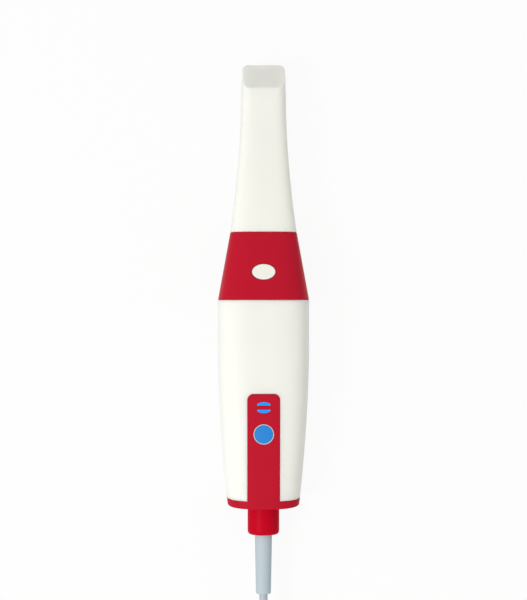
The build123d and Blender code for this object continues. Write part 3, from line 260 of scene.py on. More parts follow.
def socketGroup(name, inputs, outputs):
    # an empty node group with named inputs and outputs, and its two end nodes
    group = bpy.data.node_groups.new(name, "ShaderNodeTree")
    for label, kind, value in inputs:
        socket = group.interface.new_socket(name=label, in_out="INPUT", socket_type=kind)
        socket.default_value = value
    for label, kind in outputs:
        group.interface.new_socket(name=label, in_out="OUTPUT", socket_type=kind)
    return group, group.nodes.new("NodeGroupInput"), group.nodes.new("NodeGroupOutput")


def buildGrain():
    # fine moulded grain for the bump, and slow cloudy patches for colour and gloss
    group, given, result = socketGroup(
        "mouldedGrain",
        [("Scale", "NodeSocketFloat", plain["grainScale"]),
         ("Patch Scale", "NodeSocketFloat", plain["patchScale"])],
        [("Height", "NodeSocketFloat"), ("Patches", "NodeSocketFloat")])
    place = group.nodes.new("ShaderNodeTexCoord")
    fine = group.nodes.new("ShaderNodeTexNoise")
    fine.inputs["Detail"].default_value = plain["grainDetail"]
    slow = group.nodes.new("ShaderNodeTexNoise")
    slow.inputs["Detail"].default_value = plain["patchDetail"]
    group.links.new(place.outputs["Object"], fine.inputs["Vector"])
    group.links.new(place.outputs["Object"], slow.inputs["Vector"])
    group.links.new(given.outputs["Scale"], fine.inputs["Scale"])
    group.links.new(given.outputs["Patch Scale"], slow.inputs["Scale"])
    group.links.new(fine.outputs["Fac"], result.inputs["Height"])
    group.links.new(slow.outputs["Fac"], result.inputs["Patches"])
    return group


grainGroup = buildGrain()


def grained(name, colour, patchColour, settings):
    # plastic, rubber or metal: two near colours and two near roughnesses in slow patches, and a fine bump
    settings = {**plain, **settings}
    material = bpy.data.materials.new(name)
    material.use_nodes = True
    tree = material.node_tree
    shader = tree.nodes["Principled BSDF"]
    grain = tree.nodes.new("ShaderNodeGroup")
    grain.node_tree = grainGroup
    grain.inputs["Scale"].default_value = settings["grainScale"]
    grain.inputs["Patch Scale"].default_value = settings["patchScale"]
    mix = tree.nodes.new("ShaderNodeMix")
    mix.data_type = "RGBA"
    mix.inputs["A"].default_value = (*colour, 1.0)
    mix.inputs["B"].default_value = (*patchColour, 1.0)
    tree.links.new(grain.outputs["Patches"], mix.inputs["Factor"])
    tree.links.new(mix.outputs["Result"], shader.inputs["Base Color"])
    gloss = tree.nodes.new("ShaderNodeMapRange")
    gloss.inputs["To Min"].default_value = settings["roughness"] - settings["glossSpread"]
    gloss.inputs["To Max"].default_value = settings["roughness"] + settings["glossSpread"]
    tree.links.new(grain.outputs["Patches"], gloss.inputs["Value"])
    tree.links.new(gloss.outputs["Result"], shader.inputs["Roughness"])
    bump = tree.nodes.new("ShaderNodeBump")
    bump.inputs["Strength"].default_value = settings["grainStrength"]
    bump.inputs["Distance"].default_value = settings["grainDepth"]
    tree.links.new(grain.outputs["Height"], bump.inputs["Height"])
    tree.links.new(bump.outputs["Normal"], shader.inputs["Normal"])
    shader.inputs["Metallic"].default_value = settings["metallic"]
    shader.inputs["Coat Weight"].default_value = settings["coat"]
    shader.inputs["Coat Roughness"].default_value = settings["coatRoughness"]
    shader.inputs["Specular IOR Level"].default_value = settings["specular"]
    shader.inputs["Subsurface Weight"].default_value = settings["subsurface"]
    shader.inputs["Subsurface Radius"].default_value = settings["scatterColour"]
    shader.inputs["Subsurface Scale"].default_value = settings["scatterDepth"]
    shader.inputs["Emission Color"].default_value = (*settings["glowColour"], 1.0)
    shader.inputs["Emission Strength"].default_value = settings["glow"]
    return material


def clearGlass(name, colour, roughness, refraction):
    # glass or clear plastic that light goes through
    material = bpy.data.materials.new(name)
    material.use_nodes = True
    shader = material.node_tree.nodes["Principled BSDF"]
    shader.inputs["Base Color"].default_value = (*colour, 1.0)
    shader.inputs["Roughness"].default_value = roughness
    shader.inputs["Transmission Weight"].default_value = 1.0
    shader.inputs["IOR"].default_value = refraction
    return material


finishes = {
    "tipWhite": grained("tipWhite", (0.85, 0.85, 0.8), (0.84, 0.84, 0.79),
                        {"roughness": 0.5, "grainScale": 3500.0, "grainStrength": 0.1, "specular": 0.18,
                         "subsurface": 0.7, "scatterDepth": 0.003}),
    "handleWhite": grained("handleWhite", (0.852, 0.852, 0.8), (0.842, 0.842, 0.79),
                           {"roughness": 0.5, "grainStrength": 0.1, "specular": 0.18, "subsurface": 0.7,
                            "scatterDepth": 0.004}),
    "bodyRed": grained("bodyRed", (0.475, 0.0075, 0.025), (0.46, 0.007, 0.024),
                       {"roughness": 0.4, "grainStrength": 0.12, "specular": 0.06}),
    "capRed": grained("capRed", (0.465, 0.009, 0.026), (0.45, 0.0085, 0.025),
                      {"roughness": 0.45, "grainStrength": 0.1, "specular": 0.03}),
    "glandRed": grained("glandRed", (0.51, 0.0025, 0.017), (0.5, 0.0025, 0.016),
                        {"roughness": 0.35, "grainStrength": 0.1, "specular": 0.015}),
    "keyWhite": grained("keyWhite", (0.82, 0.82, 0.77), (0.81, 0.81, 0.76),
                        {"roughness": 0.45, "specular": 0.3}),
    "keyBlue": grained("keyBlue", (0.019, 0.215, 0.62), (0.018, 0.21, 0.61),
                       {"roughness": 0.35, "specular": 0.2}),
    "ringPale": grained("ringPale", (0.48, 0.64, 0.7), (0.46, 0.62, 0.68), {"roughness": 0.3}),
    "guideBlue": grained("guideBlue", (0.002, 0.27, 0.9), (0.002, 0.25, 0.85),
                         {"roughness": 0.4, "specular": 0.05, "glow": 0.2, "glowColour": (0.002, 0.35, 1.0)}),
    "reliefGrey": grained("reliefGrey", (0.45, 0.525, 0.575), (0.435, 0.51, 0.56),
                          {"roughness": 0.55, "grainScale": 3000.0, "specular": 0.15}),
    "cordGrey": grained("cordGrey", (0.42, 0.47, 0.52), (0.4, 0.45, 0.5), {"roughness": 0.5}),
    "plugBlack": grained("plugBlack", (0.03, 0.03, 0.033), (0.026, 0.026, 0.03),
                         {"roughness": 0.55, "grainStrength": 0.3}),
    "innerBlack": grained("innerBlack", (0.035, 0.035, 0.038), (0.03, 0.03, 0.033), {"roughness": 0.5}),
    "sealRubber": grained("sealRubber", (0.02, 0.02, 0.02), (0.026, 0.026, 0.026), {"roughness": 0.65}),
    "plugMetal": grained("plugMetal", (0.72, 0.72, 0.74), (0.66, 0.66, 0.68),
                         {"roughness": 0.28, "metallic": 1.0, "grainScale": 900.0}),
    "contactBlue": grained("contactBlue", (0.03, 0.09, 0.35), (0.03, 0.08, 0.32), {"roughness": 0.5}),
    "blackMetal": grained("blackMetal", (0.02, 0.02, 0.022), (0.03, 0.03, 0.032),
                          {"roughness": 0.45, "metallic": 0.6}),
    "boardGreen": grained("boardGreen", (0.015, 0.14, 0.06), (0.02, 0.18, 0.08),
                          {"roughness": 0.4, "coat": 0.3, "patchScale": 900.0}),
    "chipBlack": grained("chipBlack", (0.018, 0.018, 0.02), (0.025, 0.025, 0.027), {"roughness": 0.5}),
    "bareAluminium": grained("bareAluminium", (0.74, 0.75, 0.76), (0.66, 0.67, 0.68),
                             {"roughness": 0.38, "metallic": 1.0, "grainScale": 700.0}),
    "nutBrass": grained("nutBrass", (0.72, 0.52, 0.22), (0.66, 0.46, 0.18),
                        {"roughness": 0.3, "metallic": 1.0}),
    "screwSteel": grained("screwSteel", (0.58, 0.58, 0.6), (0.5, 0.5, 0.52),
                          {"roughness": 0.35, "metallic": 1.0}),
    "lampClear": grained("lampClear", (0.8, 0.85, 0.95), (0.76, 0.82, 0.95), {"roughness": 0.25}),
    "tieBlack": grained("tieBlack", (0.02, 0.02, 0.021), (0.032, 0.032, 0.034),
                        {"roughness": 0.8, "patchScale": 1500.0, "grainScale": 1800.0, "grainStrength": 0.9,
                         "grainDepth": 0.0002}),
    "mirrorGlass": grained("mirrorGlass", (0.9, 0.91, 0.92), (0.88, 0.89, 0.9),
                           {"roughness": 0.04, "glossSpread": 0.01, "metallic": 1.0, "grainStrength": 0.0}),
    "clearGlass": clearGlass("clearGlass", (0.95, 0.98, 0.98), 0.02, 1.5),
}
print("materials built")


def dress(piece, finish):
    # one finish over the whole piece or node
    piece.data.materials.clear()
    piece.data.materials.append(finishes[finish])


# scanning tip: skin, hollow, bevelled mirror end and window
tip = {"around": 288, "lipRows": 5, "bodyRows": 56, "bevelRows": 90, "roundRows": 16, "fineRun": 15.5,
       "planRound": 2.6, "sideRound": 0.9, "rimRound": 0.8, "lipRound": 0.35, "crease": 0.1,
       "sharpAngle": 50.0, "endTaper": 0.6, "taperRun": 18.0, "taperPower": 1.5, "sideLean": 0.13,
       "browDrop": 0.5, "browRun": 4.0, "bevelRun": 11.5, "bevelSlope": 0.95, "reach": 0.6}
hollow = {"rows": 30, "end": 115.05, "bevelBack": 101.0, "bodyFront": 100.0, "mouthWall": 2.4,
          "wallLoss": 1.0, "mirrorPlane": 126.93}
window = {"half": 6.6, "length": 12.0, "front": 113.75, "corner": 1.5, "low": 4.0, "high": 12.3}


def tipSkin():
    # outer sections whose upper sides lean in by a share that grows as a square towards the end; their top is
    # held under the brow's and the bevel's planes, and quarter circles round the bevel's rim and the end wall
    end = body["tipEnd"] + tip["reach"]
    turn = np.linspace(0, np.pi / 2, tip["roundRows"])
    stations = np.concatenate([
        body["tipRoot"] + tip["lipRound"] * (1 - np.cos(np.linspace(0, np.pi / 2, tip["lipRows"])[:-1])),
        np.linspace(body["tipRoot"] + tip["lipRound"], end - tip["fineRun"], tip["bodyRows"]),
        np.linspace(end - tip["fineRun"], end - tip["planRound"], tip["bevelRows"])[1:],
        (end - tip["planRound"] + tip["planRound"] * np.sin(turn))[1:],
    ])
    angle = np.linspace(-np.pi / 2, 1.5 * np.pi, tip["around"], endpoint=False)[None, :]
    halfWidth, halfHeight, middle, power = tipSizes(stations, sleeve["skinFlare"])
    toEnd = np.clip(stations - (end - tip["planRound"]), 0, tip["planRound"]) / tip["planRound"]
    planInset = tip["planRound"] * (1 - np.sqrt(1 - toEnd ** 2))
    planInset += tip["endTaper"] * np.clip(1 - (end - stations) / tip["taperRun"], 0, 1) ** tip["taperPower"]
    sideInset = tip["sideRound"] * (1 - np.sqrt(1 - toEnd ** 2))
    lip = edgeDrop(stations - body["tipRoot"], tip["lipRound"])
    right, up = ovalRing((halfWidth - planInset - lip)[:, None], (halfHeight - sideInset - lip)[:, None],
                         power[:, None], angle)
    fromEnd = (end - stations)[:, None]
    nearEnd = np.clip(1 - fromEnd / (end - body["tipRoot"]), 0, 1) ** 2
    right = right * (1 - tip["sideLean"] * nearEnd * np.clip(up / halfHeight[:, None], 0, 1))
    height = middle[:, None] + up
    top = body["axisHeight"] + sleeve["height"] / 2 - tip["browDrop"]
    brow = top + (fromEnd - tip["bevelRun"]) * tip["browDrop"] / tip["browRun"]
    toRim = np.maximum(np.minimum(fromEnd, (halfWidth - planInset)[:, None] - np.abs(right)), 0)
    bevel = top - (tip["bevelRun"] - fromEnd) * tip["bevelSlope"] - edgeDrop(toRim, tip["rimRound"])
    height = softMin(softMin(height, brow, tip["crease"]), bevel, tip["crease"])
    return np.stack([right, np.broadcast_to(stations[:, None], right.shape), height], axis=-1)


def tipHollow():
    # the same sections drawn in by a wall that thins evenly forwards, from the far end back to the mouth;
    # their top is held under the mirror's plane, on which height and station have one sum
    stations = np.concatenate([np.linspace(hollow["end"], hollow["bevelBack"], hollow["rows"]),
                               np.linspace(hollow["bodyFront"], body["tipRoot"], hollow["rows"])])
    halfWidth, halfHeight, middle, power = tipSizes(stations, sleeve["boreFlare"])
    wall = hollow["mouthWall"] - hollow["wallLoss"] * (stations - body["tipRoot"]) / sleeve["length"]
    angle = np.linspace(-np.pi / 2, 1.5 * np.pi, tip["around"], endpoint=False)[None, :]
    right, up = ovalRing((halfWidth - wall)[:, None], (halfHeight - wall)[:, None], power[:, None], angle)
    height = np.minimum(middle[:, None] + up, (hollow["mirrorPlane"] - stations)[:, None])
    return np.stack([right, np.broadcast_to(stations[:, None], right.shape), height], axis=-1)


def roundedBox(name, centre, halfWidth, halfLength, radius, low, high, steps=9):
    # upright block whose plan is a rounded rectangle: a quarter circle round each of its four corner points
    angle = np.linspace(0, np.pi / 2, steps) + np.arange(4)[:, None] * np.pi / 2
    sideX = np.array([1, -1, -1, 1])[:, None]
    sideY = np.array([1, 1, -1, -1])[:, None]
    right = (sideX * (halfWidth - radius) + radius * np.cos(angle)).ravel()
    forward = (sideY * (halfLength - radius) + radius * np.sin(angle)).ravel()
    ring = np.stack([centre[0] + right, centre[1] + forward, 0 * right], axis=-1)
    return ringPiece(name, np.stack([ring + (0, 0, low), ring + (0, 0, high)]))


tipShell = ringPiece("tipShell", np.concatenate([tipHollow(), tipSkin()]), sharpAngle=tip["sharpAngle"])
windowCutter = roundedBox("windowCutter", (0.0, window["front"] - window["length"] / 2), window["half"],
                          window["length"] / 2, window["corner"], window["low"], window["high"])
cutAway(tipShell, [windowCutter], tip["sharpAngle"])
dress(tipShell, "tipWhite")
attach(tipShell, "tip")
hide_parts("tip_shell")
print("tip made")

# collar: a straight tapered ring, closed in front round the nose
collar = {"around": 240, "rows": 24, "edgeRows": 7, "edge": 0.3, "frontEdge": 0.5, "backMargin": 1.0,
          "frontMargin": 1.2, "wall": 2.0, "frontWall": 2.0, "noseInset": 0.4}


def collarRings():
    # the outer ring runs straight from the handle's section to the tip's, with a quarter circle at both
    # edges, and returns inside
    angle = np.linspace(-np.pi / 2, 1.5 * np.pi, collar["around"], endpoint=False)[None, :]
    ends = np.array([body["collarBack"], body["tipRoot"]])
    backSizes = [value[:1] for value in handleSizes(ends)]
    frontSizes = [value[1:] for value in tipSizes(ends, sleeve["skinFlare"])]
    back = sectionRings(ends[:1], backSizes, 0, angle)[0]
    front = sectionRings(ends[1:], frontSizes, 0, angle)[0]

    def ringAt(station, inset):
        # the ring at a share of the way, scaled about its middle until its width and height lose the inset
        share = (station - ends[0]) / (ends[1] - ends[0])
        ring = back + (front - back) * share
        middle = np.array([0.0, station, backSizes[2][0] + (frontSizes[2][0] - backSizes[2][0]) * share])
        reach = np.abs(ring - middle).max(axis=0)
        scale = np.array([(reach[0] - inset) / reach[0], 1.0, (reach[2] - inset) / reach[2]])
        ring = middle + (ring - middle) * scale
        ring[:, 1] = station
        return ring

    turn = np.linspace(0, np.pi / 2, collar["edgeRows"])
    away = 1 - np.sin(turn)
    fallen = 1 - np.cos(turn)
    straight = np.linspace(ends[0] + collar["backMargin"], ends[1] - collar["frontMargin"], collar["rows"])
    stations = np.concatenate([ends[0] + collar["edge"] * away[::-1], straight,
                               ends[1] - collar["frontEdge"] * away])
    insets = np.concatenate([collar["edge"] * fallen[::-1], 0 * straight, collar["frontEdge"] * fallen])
    rings = [ringAt(station, inset) for station, inset in zip(stations, insets)]
    mouth = [value[1:] for value in tipSizes(ends, sleeve["boreFlare"])]
    hole = sectionRings(ends[1:], mouth, hollow["mouthWall"] + collar["noseInset"], angle)[0]
    rings += [hole, hole - np.array([0, collar["frontWall"], 0])]
    rings += [ringAt(ends[1] - collar["frontWall"], collar["wall"]), ringAt(ends[0], collar["wall"])]
    rings = np.stack(rings)
    rings[..., 2] = np.maximum(rings[..., 2], 0.0)
    return rings


# scan button, an oval set square to the collar's sloping top
scanKey = {"width": 10.05, "length": 6.85, "place": 12.2, "stand": 0.35, "rim": 0.4, "gap": 0.2, "dish": 0.12,
           "dishInset": 3.2, "skirt": 2.0, "depth": 2.6, "cutLow": -6.0, "cutHigh": 4.0, "around": 96}
collarFall = handle["height"] - body["axisHeight"] - (sleeve["height"] + sleeve["rise"]) / 2
tilt = math.atan(collarFall / (body["tipRoot"] - body["collarBack"]))
scanHeight = handle["height"] - scanKey["place"] * math.tan(tilt)
scanOrigin = np.array([0.0, body["collarBack"] + scanKey["place"], scanHeight])
scanAxis = np.array([0.0, math.sin(tilt), math.cos(tilt)])
collarShell = ringPiece("collarShell", collarRings(), closed=True)
holeRings = ovalRings(scanOrigin, scanAxis, [scanKey["cutLow"], scanKey["cutHigh"]],
                      [scanKey["width"] / 2 + scanKey["gap"]] * 2,
                      [scanKey["length"] / 2 + scanKey["gap"]] * 2, scanKey["around"])
cutAway(collarShell, [ringPiece("keyCutter", holeRings)])
dress(collarShell, "bodyRed")
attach(collarShell, "handle")
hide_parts("collar")

keyProfile = np.concatenate([
    [[-scanKey["depth"], 0.0]],
    roundedProfile([(-scanKey["skirt"], 0.0), (scanKey["stand"], 0.0),
                    (scanKey["stand"] - scanKey["dish"], scanKey["dishInset"])], [scanKey["rim"]]),
])
keyRings = ovalRings(scanOrigin, scanAxis, keyProfile[:, 0], scanKey["width"] / 2 - keyProfile[:, 1],
                     scanKey["length"] / 2 - keyProfile[:, 1], scanKey["around"])
scanButton = ringPiece("scanButton", keyRings)
dress(scanButton, "keyWhite")
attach(scanButton, "scan_key")
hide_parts("scan_button")
print("collar and scan button made")

# handle: upper and lower casing, parted along a line that falls towards the cap
casing = {"rows": 110, "across": 150, "edgeRows": 6, "wall": 2.2, "floorWall": 1.8, "edge": 0.3, "seam": 0.04,
          "seamFall": 3.5, "seamRun": 87.1}


def casingHalf(upper):
    # at each station an arc of the section from seam to seam, and back again an arc drawn in by the wall; the
    # seam falls evenly, and an arc starts where its superellipse crosses it
    turn = np.linspace(0, np.pi / 2, casing["edgeRows"])
    front = body["collarBack"] - casing["edge"] * (1 - np.sin(turn))[::-1]
    stations = np.concatenate([front, np.linspace(front[-1], body["casingBack"], casing["rows"])[1:]])
    halfWidth, halfHeight, middle, power = handleSizes(stations)
    drop = edgeDrop(body["collarBack"] - stations, casing["edge"])
    seamHeight = body["axisHeight"] - (body["collarBack"] - stations) * casing["seamFall"] / casing["seamRun"]
    seamHeight += casing["seam"] if upper else -casing["seam"]
    arcs = []
    for wall in (0.0, casing["wall"]):
        across = halfWidth - drop * (wall == 0) - wall
        upright = halfHeight - drop * (wall == 0) - wall
        lift = seamHeight - middle
        reach = across * (1 - np.abs(lift / upright) ** power) ** (1 / power)
        start = np.arctan2(lift, reach)
        sweep = np.linspace(0, 1, casing["across"])[None, :]
        if upper:
            angle = start[:, None] + (np.pi - 2 * start[:, None]) * sweep
        else:
            angle = np.pi - start[:, None] + (np.pi + 2 * start[:, None]) * sweep
        right, up = ovalRing(across[:, None], upright[:, None], power[:, None], angle)
        height = middle[:, None] + up
        lowest = 0.0 if wall == 0 else casing["floorWall"]
        arcs.append(np.stack([right, np.broadcast_to(stations[:, None], right.shape),
                              np.maximum(height, lowest)], axis=-1))
    loops = np.concatenate([arcs[0], arcs[1][:, ::-1]], axis=1)
    rows, columns = loops.shape[:2]
    quads = gridFaces(rows, columns, False, True)
    step = np.arange(casing["across"] - 1)
    cap = np.stack([step, step + 1, columns - 2 - step, columns - 1 - step], axis=-1)
    ends = np.concatenate([cap[:, ::-1], cap + (rows - 1) * columns])
    return leaned(loops).reshape(-1, 3), np.concatenate([quads, ends])


upperCasing = makePiece("upperCasing", *casingHalf(True))
lowerCasing = makePiece("lowerCasing", *casingHalf(False))

tongue = {"half": 7.02, "front": -27.3, "round": 2.6, "thick": 1.1, "edge": 0.35, "gap": 0.08, "rows": 130,
          "columns": 64, "behind": 0.5, "leastWing": 0.02, "cutBehind": 6.0, "cutLow": 20.0, "cutHigh": 40.0}
powerKey = {"station": -44.85, "radius": 3.95, "stand": 0.25, "rim": 0.3, "crown": 0.1, "crownRadius": 0.05,
            "ring": 4.4, "ringStand": 0.06, "ringRim": 0.12, "ringSteps": 5, "gap": 0.08, "depth": 3.0,
            "cutReach": 4.0, "cutGap": 0.04, "around": 96}
# the key stands square to the handle's top, whose slope is taken 1 mm to either side of it
behind, under, ahead = handleTop(0.0, powerKey["station"] + np.array([-1.0, 0.0, 1.0]))
powerTilt = math.atan((ahead - behind) / 2)
powerOrigin = np.array([0.0, powerKey["station"], under])
powerAxis = np.array([0.0, -math.sin(powerTilt), math.cos(powerTilt)])


def tongueCutter(border):
    # upright block round the tongue's plan by a border, longer than it at the back
    front = tongue["front"] + border
    back = body["casingBack"] - tongue["cutBehind"]
    return roundedBox("tongueCutter", (0.0, (front + back) / 2), tongue["half"] + border, (front - back) / 2,
                      tongue["round"] + border, tongue["cutLow"], tongue["cutHigh"])


cutAway(upperCasing, [tongueCutter(tongue["gap"])])
for piece, node in ((upperCasing, "upper_casing"), (lowerCasing, "lower_casing")):
    dress(piece, "handleWhite")
    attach(piece, "handle")
    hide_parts(node)
print("casings made")


# rear cap: band and tongue
def tongueSheet():
    # the plan narrows along quarter circles at the front; the height follows the handle and falls as another
    # quarter circle with the distance in from the border
    back = body["casingBack"] - tongue["behind"]
    share = np.linspace(0, 1, tongue["rows"])
    fromFront = (tongue["front"] - back) * (1 - np.cos(share * np.pi / 2))
    stations = tongue["front"] - fromFront
    near = np.clip(tongue["round"] - fromFront, 0, tongue["round"])
    half = tongue["half"] - tongue["round"] + np.sqrt(np.maximum(tongue["round"] ** 2 - near ** 2, 0))
    half = np.maximum(half, tongue["half"] - tongue["round"] + tongue["leastWing"])
    across = np.sin(np.linspace(-np.pi / 2, np.pi / 2, tongue["columns"]))[None, :]
    x = half[:, None] * across
    y = np.broadcast_to(stations[:, None], x.shape)
    # the distance is to the nearest straight side, or to the circle in a corner
    cornerX = np.abs(x) - (tongue["half"] - tongue["round"])
    cornerY = y - (tongue["front"] - tongue["round"])
    inCorner = (cornerX > 0) & (cornerY > 0)
    inside = np.where(inCorner, tongue["round"] - np.hypot(np.maximum(cornerX, 0), np.maximum(cornerY, 0)),
                      np.minimum(tongue["half"] - np.abs(x), tongue["front"] - y))
    top = handleTop(x, y) - edgeDrop(np.maximum(inside, 0), tongue["edge"])
    return (leaned(np.stack([x, y, top], axis=-1)),
            leaned(np.stack([x, y, handleTop(x, y) - tongue["thick"]], axis=-1)))


band = {"around": 240, "edgeRows": 10, "gap": 0.08, "frontEdge": 0.12, "frontRun": 0.9, "edge": 0.35,
        "reach": 0.25, "screwX": 10.6, "screwRadius": 1.8, "screwDepth": 1.2, "cutBehind": 4.0,
        "cutAround": 48}


def bandRings():
    # the handle's last section, carried back, with a quarter circle at both edges
    turn = np.linspace(0, np.pi / 2, band["edgeRows"])
    early = turn[:-1]
    front = body["casingBack"] - band["gap"]
    back = body["capBack"] - band["reach"]
    stations = np.concatenate([front - band["frontEdge"] * (1 - np.cos(early)), [front - band["frontRun"]],
                               back + band["edge"] * (1 - np.sin(turn))])
    inset = np.concatenate([band["frontEdge"] * (1 - np.sin(early)), [0], band["edge"] * (1 - np.cos(turn))])
    angle = np.linspace(-np.pi / 2, 1.5 * np.pi, band["around"], endpoint=False)[None, :]
    rings = sectionRings(stations, handleSizes(stations), inset, angle)
    rings[..., 2] = np.maximum(rings[..., 2], 0.0)
    return leaned(rings)


capBand = ringPiece("capBand", bandRings())
cutAway(capBand, [
    ringPiece("screwCutter", turnedRings((side * band["screwX"], 0, body["cordHeight"]), (0, 1, 0),
                                         [body["capBack"] - band["cutBehind"],
                                          body["capBack"] + band["screwDepth"]],
                                         [band["screwRadius"]] * 2, band["cutAround"]))
    for side in (-1, 1)
])
capTongue = platePiece("capTongue", *tongueSheet())
statusArc = {"station": -33.2, "span": 2.9, "inner": 0.9, "innerBow": 0.12, "outer": 1.5, "outerBow": 0.85,
             "endRound": 0.4, "leastEnd": 0.02, "rows": 40, "columns": 8, "depth": 1.6, "stand": 0.02,
             "gap": 0.04, "cutLow": -2.5, "cutHigh": 2.0}


def arcSheet(side, border, low, high):
    # one of two thick arcs that bow apart as parabolas; a quarter ellipse narrows each towards both ends
    span = statusArc["span"] + border
    along = np.sin(np.linspace(-np.pi / 2, np.pi / 2, statusArc["rows"]))[:, None]
    across = np.linspace(0, 1, statusArc["columns"])[None, :]
    x = span * along + 0 * across
    bow = 1 - along ** 2
    inner = statusArc["inner"] - border + statusArc["innerBow"] * bow
    outer = statusArc["outer"] + border + statusArc["outerBow"] * bow
    past = np.maximum(np.abs(along) * span - (span - statusArc["endRound"]), 0) / statusArc["endRound"]
    width = np.maximum(np.sqrt(np.maximum(1 - past ** 2, 0)), statusArc["leastEnd"])
    middle = (inner + outer) / 2
    inner = middle + (inner - middle) * width
    outer = middle + (outer - middle) * width
    y = statusArc["station"] + side * (inner + (outer - inner) * across)
    level = handleTop(x, y)
    return np.stack([x, y, level + high], axis=-1), np.stack([x, y, level + low], axis=-1)


arcCut = (statusArc["gap"], statusArc["cutLow"], statusArc["cutHigh"])
cutAway(capTongue, [
    ringPiece("ringCutter", turnedRings(powerOrigin, powerAxis, [-powerKey["cutReach"], powerKey["cutReach"]],
                                        [powerKey["ring"] + powerKey["cutGap"]] * 2, powerKey["around"])),
    platePiece("arcCutterA", *arcSheet(1, *arcCut)),
    platePiece("arcCutterB", *arcSheet(-1, *arcCut)),
])
for piece in (capBand, capTongue):
    dress(piece, "capRed")
    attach(piece, "handle")
    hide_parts("rear_cap")

# status arcs, power ring and power button
for side, name in ((1, "statusArcFront"), (-1, "statusArcBack")):
    arc = platePiece(name, *arcSheet(side, 0.0, -statusArc["depth"], statusArc["stand"]))
    dress(arc, "guideBlue")
    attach(arc, "handle")
    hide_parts("status_light_guide")

ringBore = powerKey["radius"] + powerKey["gap"]
ringProfile = roundedProfile(
    [(-powerKey["depth"], ringBore), (powerKey["ringStand"], ringBore),
     (powerKey["ringStand"], powerKey["ring"]), (-powerKey["depth"], powerKey["ring"])],
    [powerKey["ringRim"], powerKey["ringRim"]], powerKey["ringSteps"])
powerRing = ringPiece("powerRing", turnedRings(powerOrigin, powerAxis, ringProfile[:, 0], ringProfile[:, 1],
                                               powerKey["around"]), closed=True)
dress(powerRing, "ringPale")
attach(powerRing, "handle")
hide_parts("power_ring")

buttonProfile = roundedProfile(
    [(-powerKey["depth"], powerKey["radius"]), (powerKey["stand"], powerKey["radius"]),
     (powerKey["stand"] + powerKey["crown"], powerKey["crownRadius"])],
    [powerKey["rim"]])
powerButton = ringPiece("powerButton", turnedRings(powerOrigin, powerAxis, buttonProfile[:, 0],
                                                   buttonProfile[:, 1], powerKey["around"]))
dress(powerButton, "keyBlue")
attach(powerButton, "power_key")
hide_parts("power_button")
print("cap, arcs and power button made")

# gland and strain relief, turned about the cord's line
cordOrigin = (0.0, 0.0, body["cordHeight"])
gland = {"radius": 7.0, "round": 2.0, "bore": 3.85, "boreRound": 0.3, "root": 2.4, "rootRound": 0.05,
         "steps": 12, "around": 96}
glandFront = body["capBack"] + gland["root"]
glandProfile = roundedProfile(
    [(glandFront, gland["bore"]), (glandFront, gland["radius"]), (body["glandBack"], gland["radius"]),
     (body["glandBack"], gland["bore"]), (glandFront, gland["bore"])],
    [gland["rootRound"], gland["round"], gland["boreRound"]], gland["steps"])[:-1]
cordGland = ringPiece("cordGland", turnedRings(cordOrigin, (0, 1, 0), glandProfile[:, 0], glandProfile[:, 1],
                                               gland["around"]), closed=True)
dress(cordGland, "glandRed")
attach(cordGland, "handle")
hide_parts("cord_gland")

relief = {"rootRadius": 3.8, "endRadius": 3.3, "bore": 1.88, "inGland": 6.0, "rounds": [0.05, 0.05, 0.5, 0.2],
          "around": 64}
reliefFront = body["glandBack"] + relief["inGland"]
reliefProfile = roundedProfile(
    [(reliefFront, relief["bore"]), (reliefFront, relief["rootRadius"]),
     (body["glandBack"], relief["rootRadius"]), (body["reliefBack"], relief["endRadius"]),
     (body["reliefBack"], relief["bore"]), (reliefFront, relief["bore"])],
    relief["rounds"])[:-1]
strainRelief = ringPiece("strainRelief", turnedRings(cordOrigin, (0, 1, 0), reliefProfile[:, 0],
                                                     reliefProfile[:, 1], relief["around"]), closed=True)
dress(strainRelief, "reliefGrey")
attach(strainRelief, "handle")
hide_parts("strain_relief")
print("gland and strain relief made")

# cord: a short lead, a put-away coil and a tail into the plug, along one curve
cord = {"radius": 1.85, "rounding": 6, "smoothness": 6, "order": 3,
        "lead": [(0.0, body["reliefBack"] + 0.6, 13.0), (0.0, -121.5, 13.0), (0.0, -127.0, 13.0),
                 (5.2, -138.0, 12.5)],
        "tail": [(12.9, -172.0, 3.2), (12.4, -177.0, 4.0), (12.4, -183.0, 4.0)],
        "coilX": -10.0, "coilY": -158.0, "perTurn": 18, "joinAngle": 25.6, "holdShare": 0.78,
        "tieLift": 0.7, "tieAngle": 0.45, "crossLift": 0.45, "crossAbove": 6.0,
        "turns": [(22.4, 11.96), (18.7, 11.96), (16.85, 8.76), (20.55, 8.76), (24.25, 8.76),
                  (26.1, 5.55), (22.4, 5.55), (18.7, 5.55), (15.0, 5.55),
                  (15.0, 1.85), (18.7, 1.85), (22.4, 1.85), (26.1, 1.85)]}


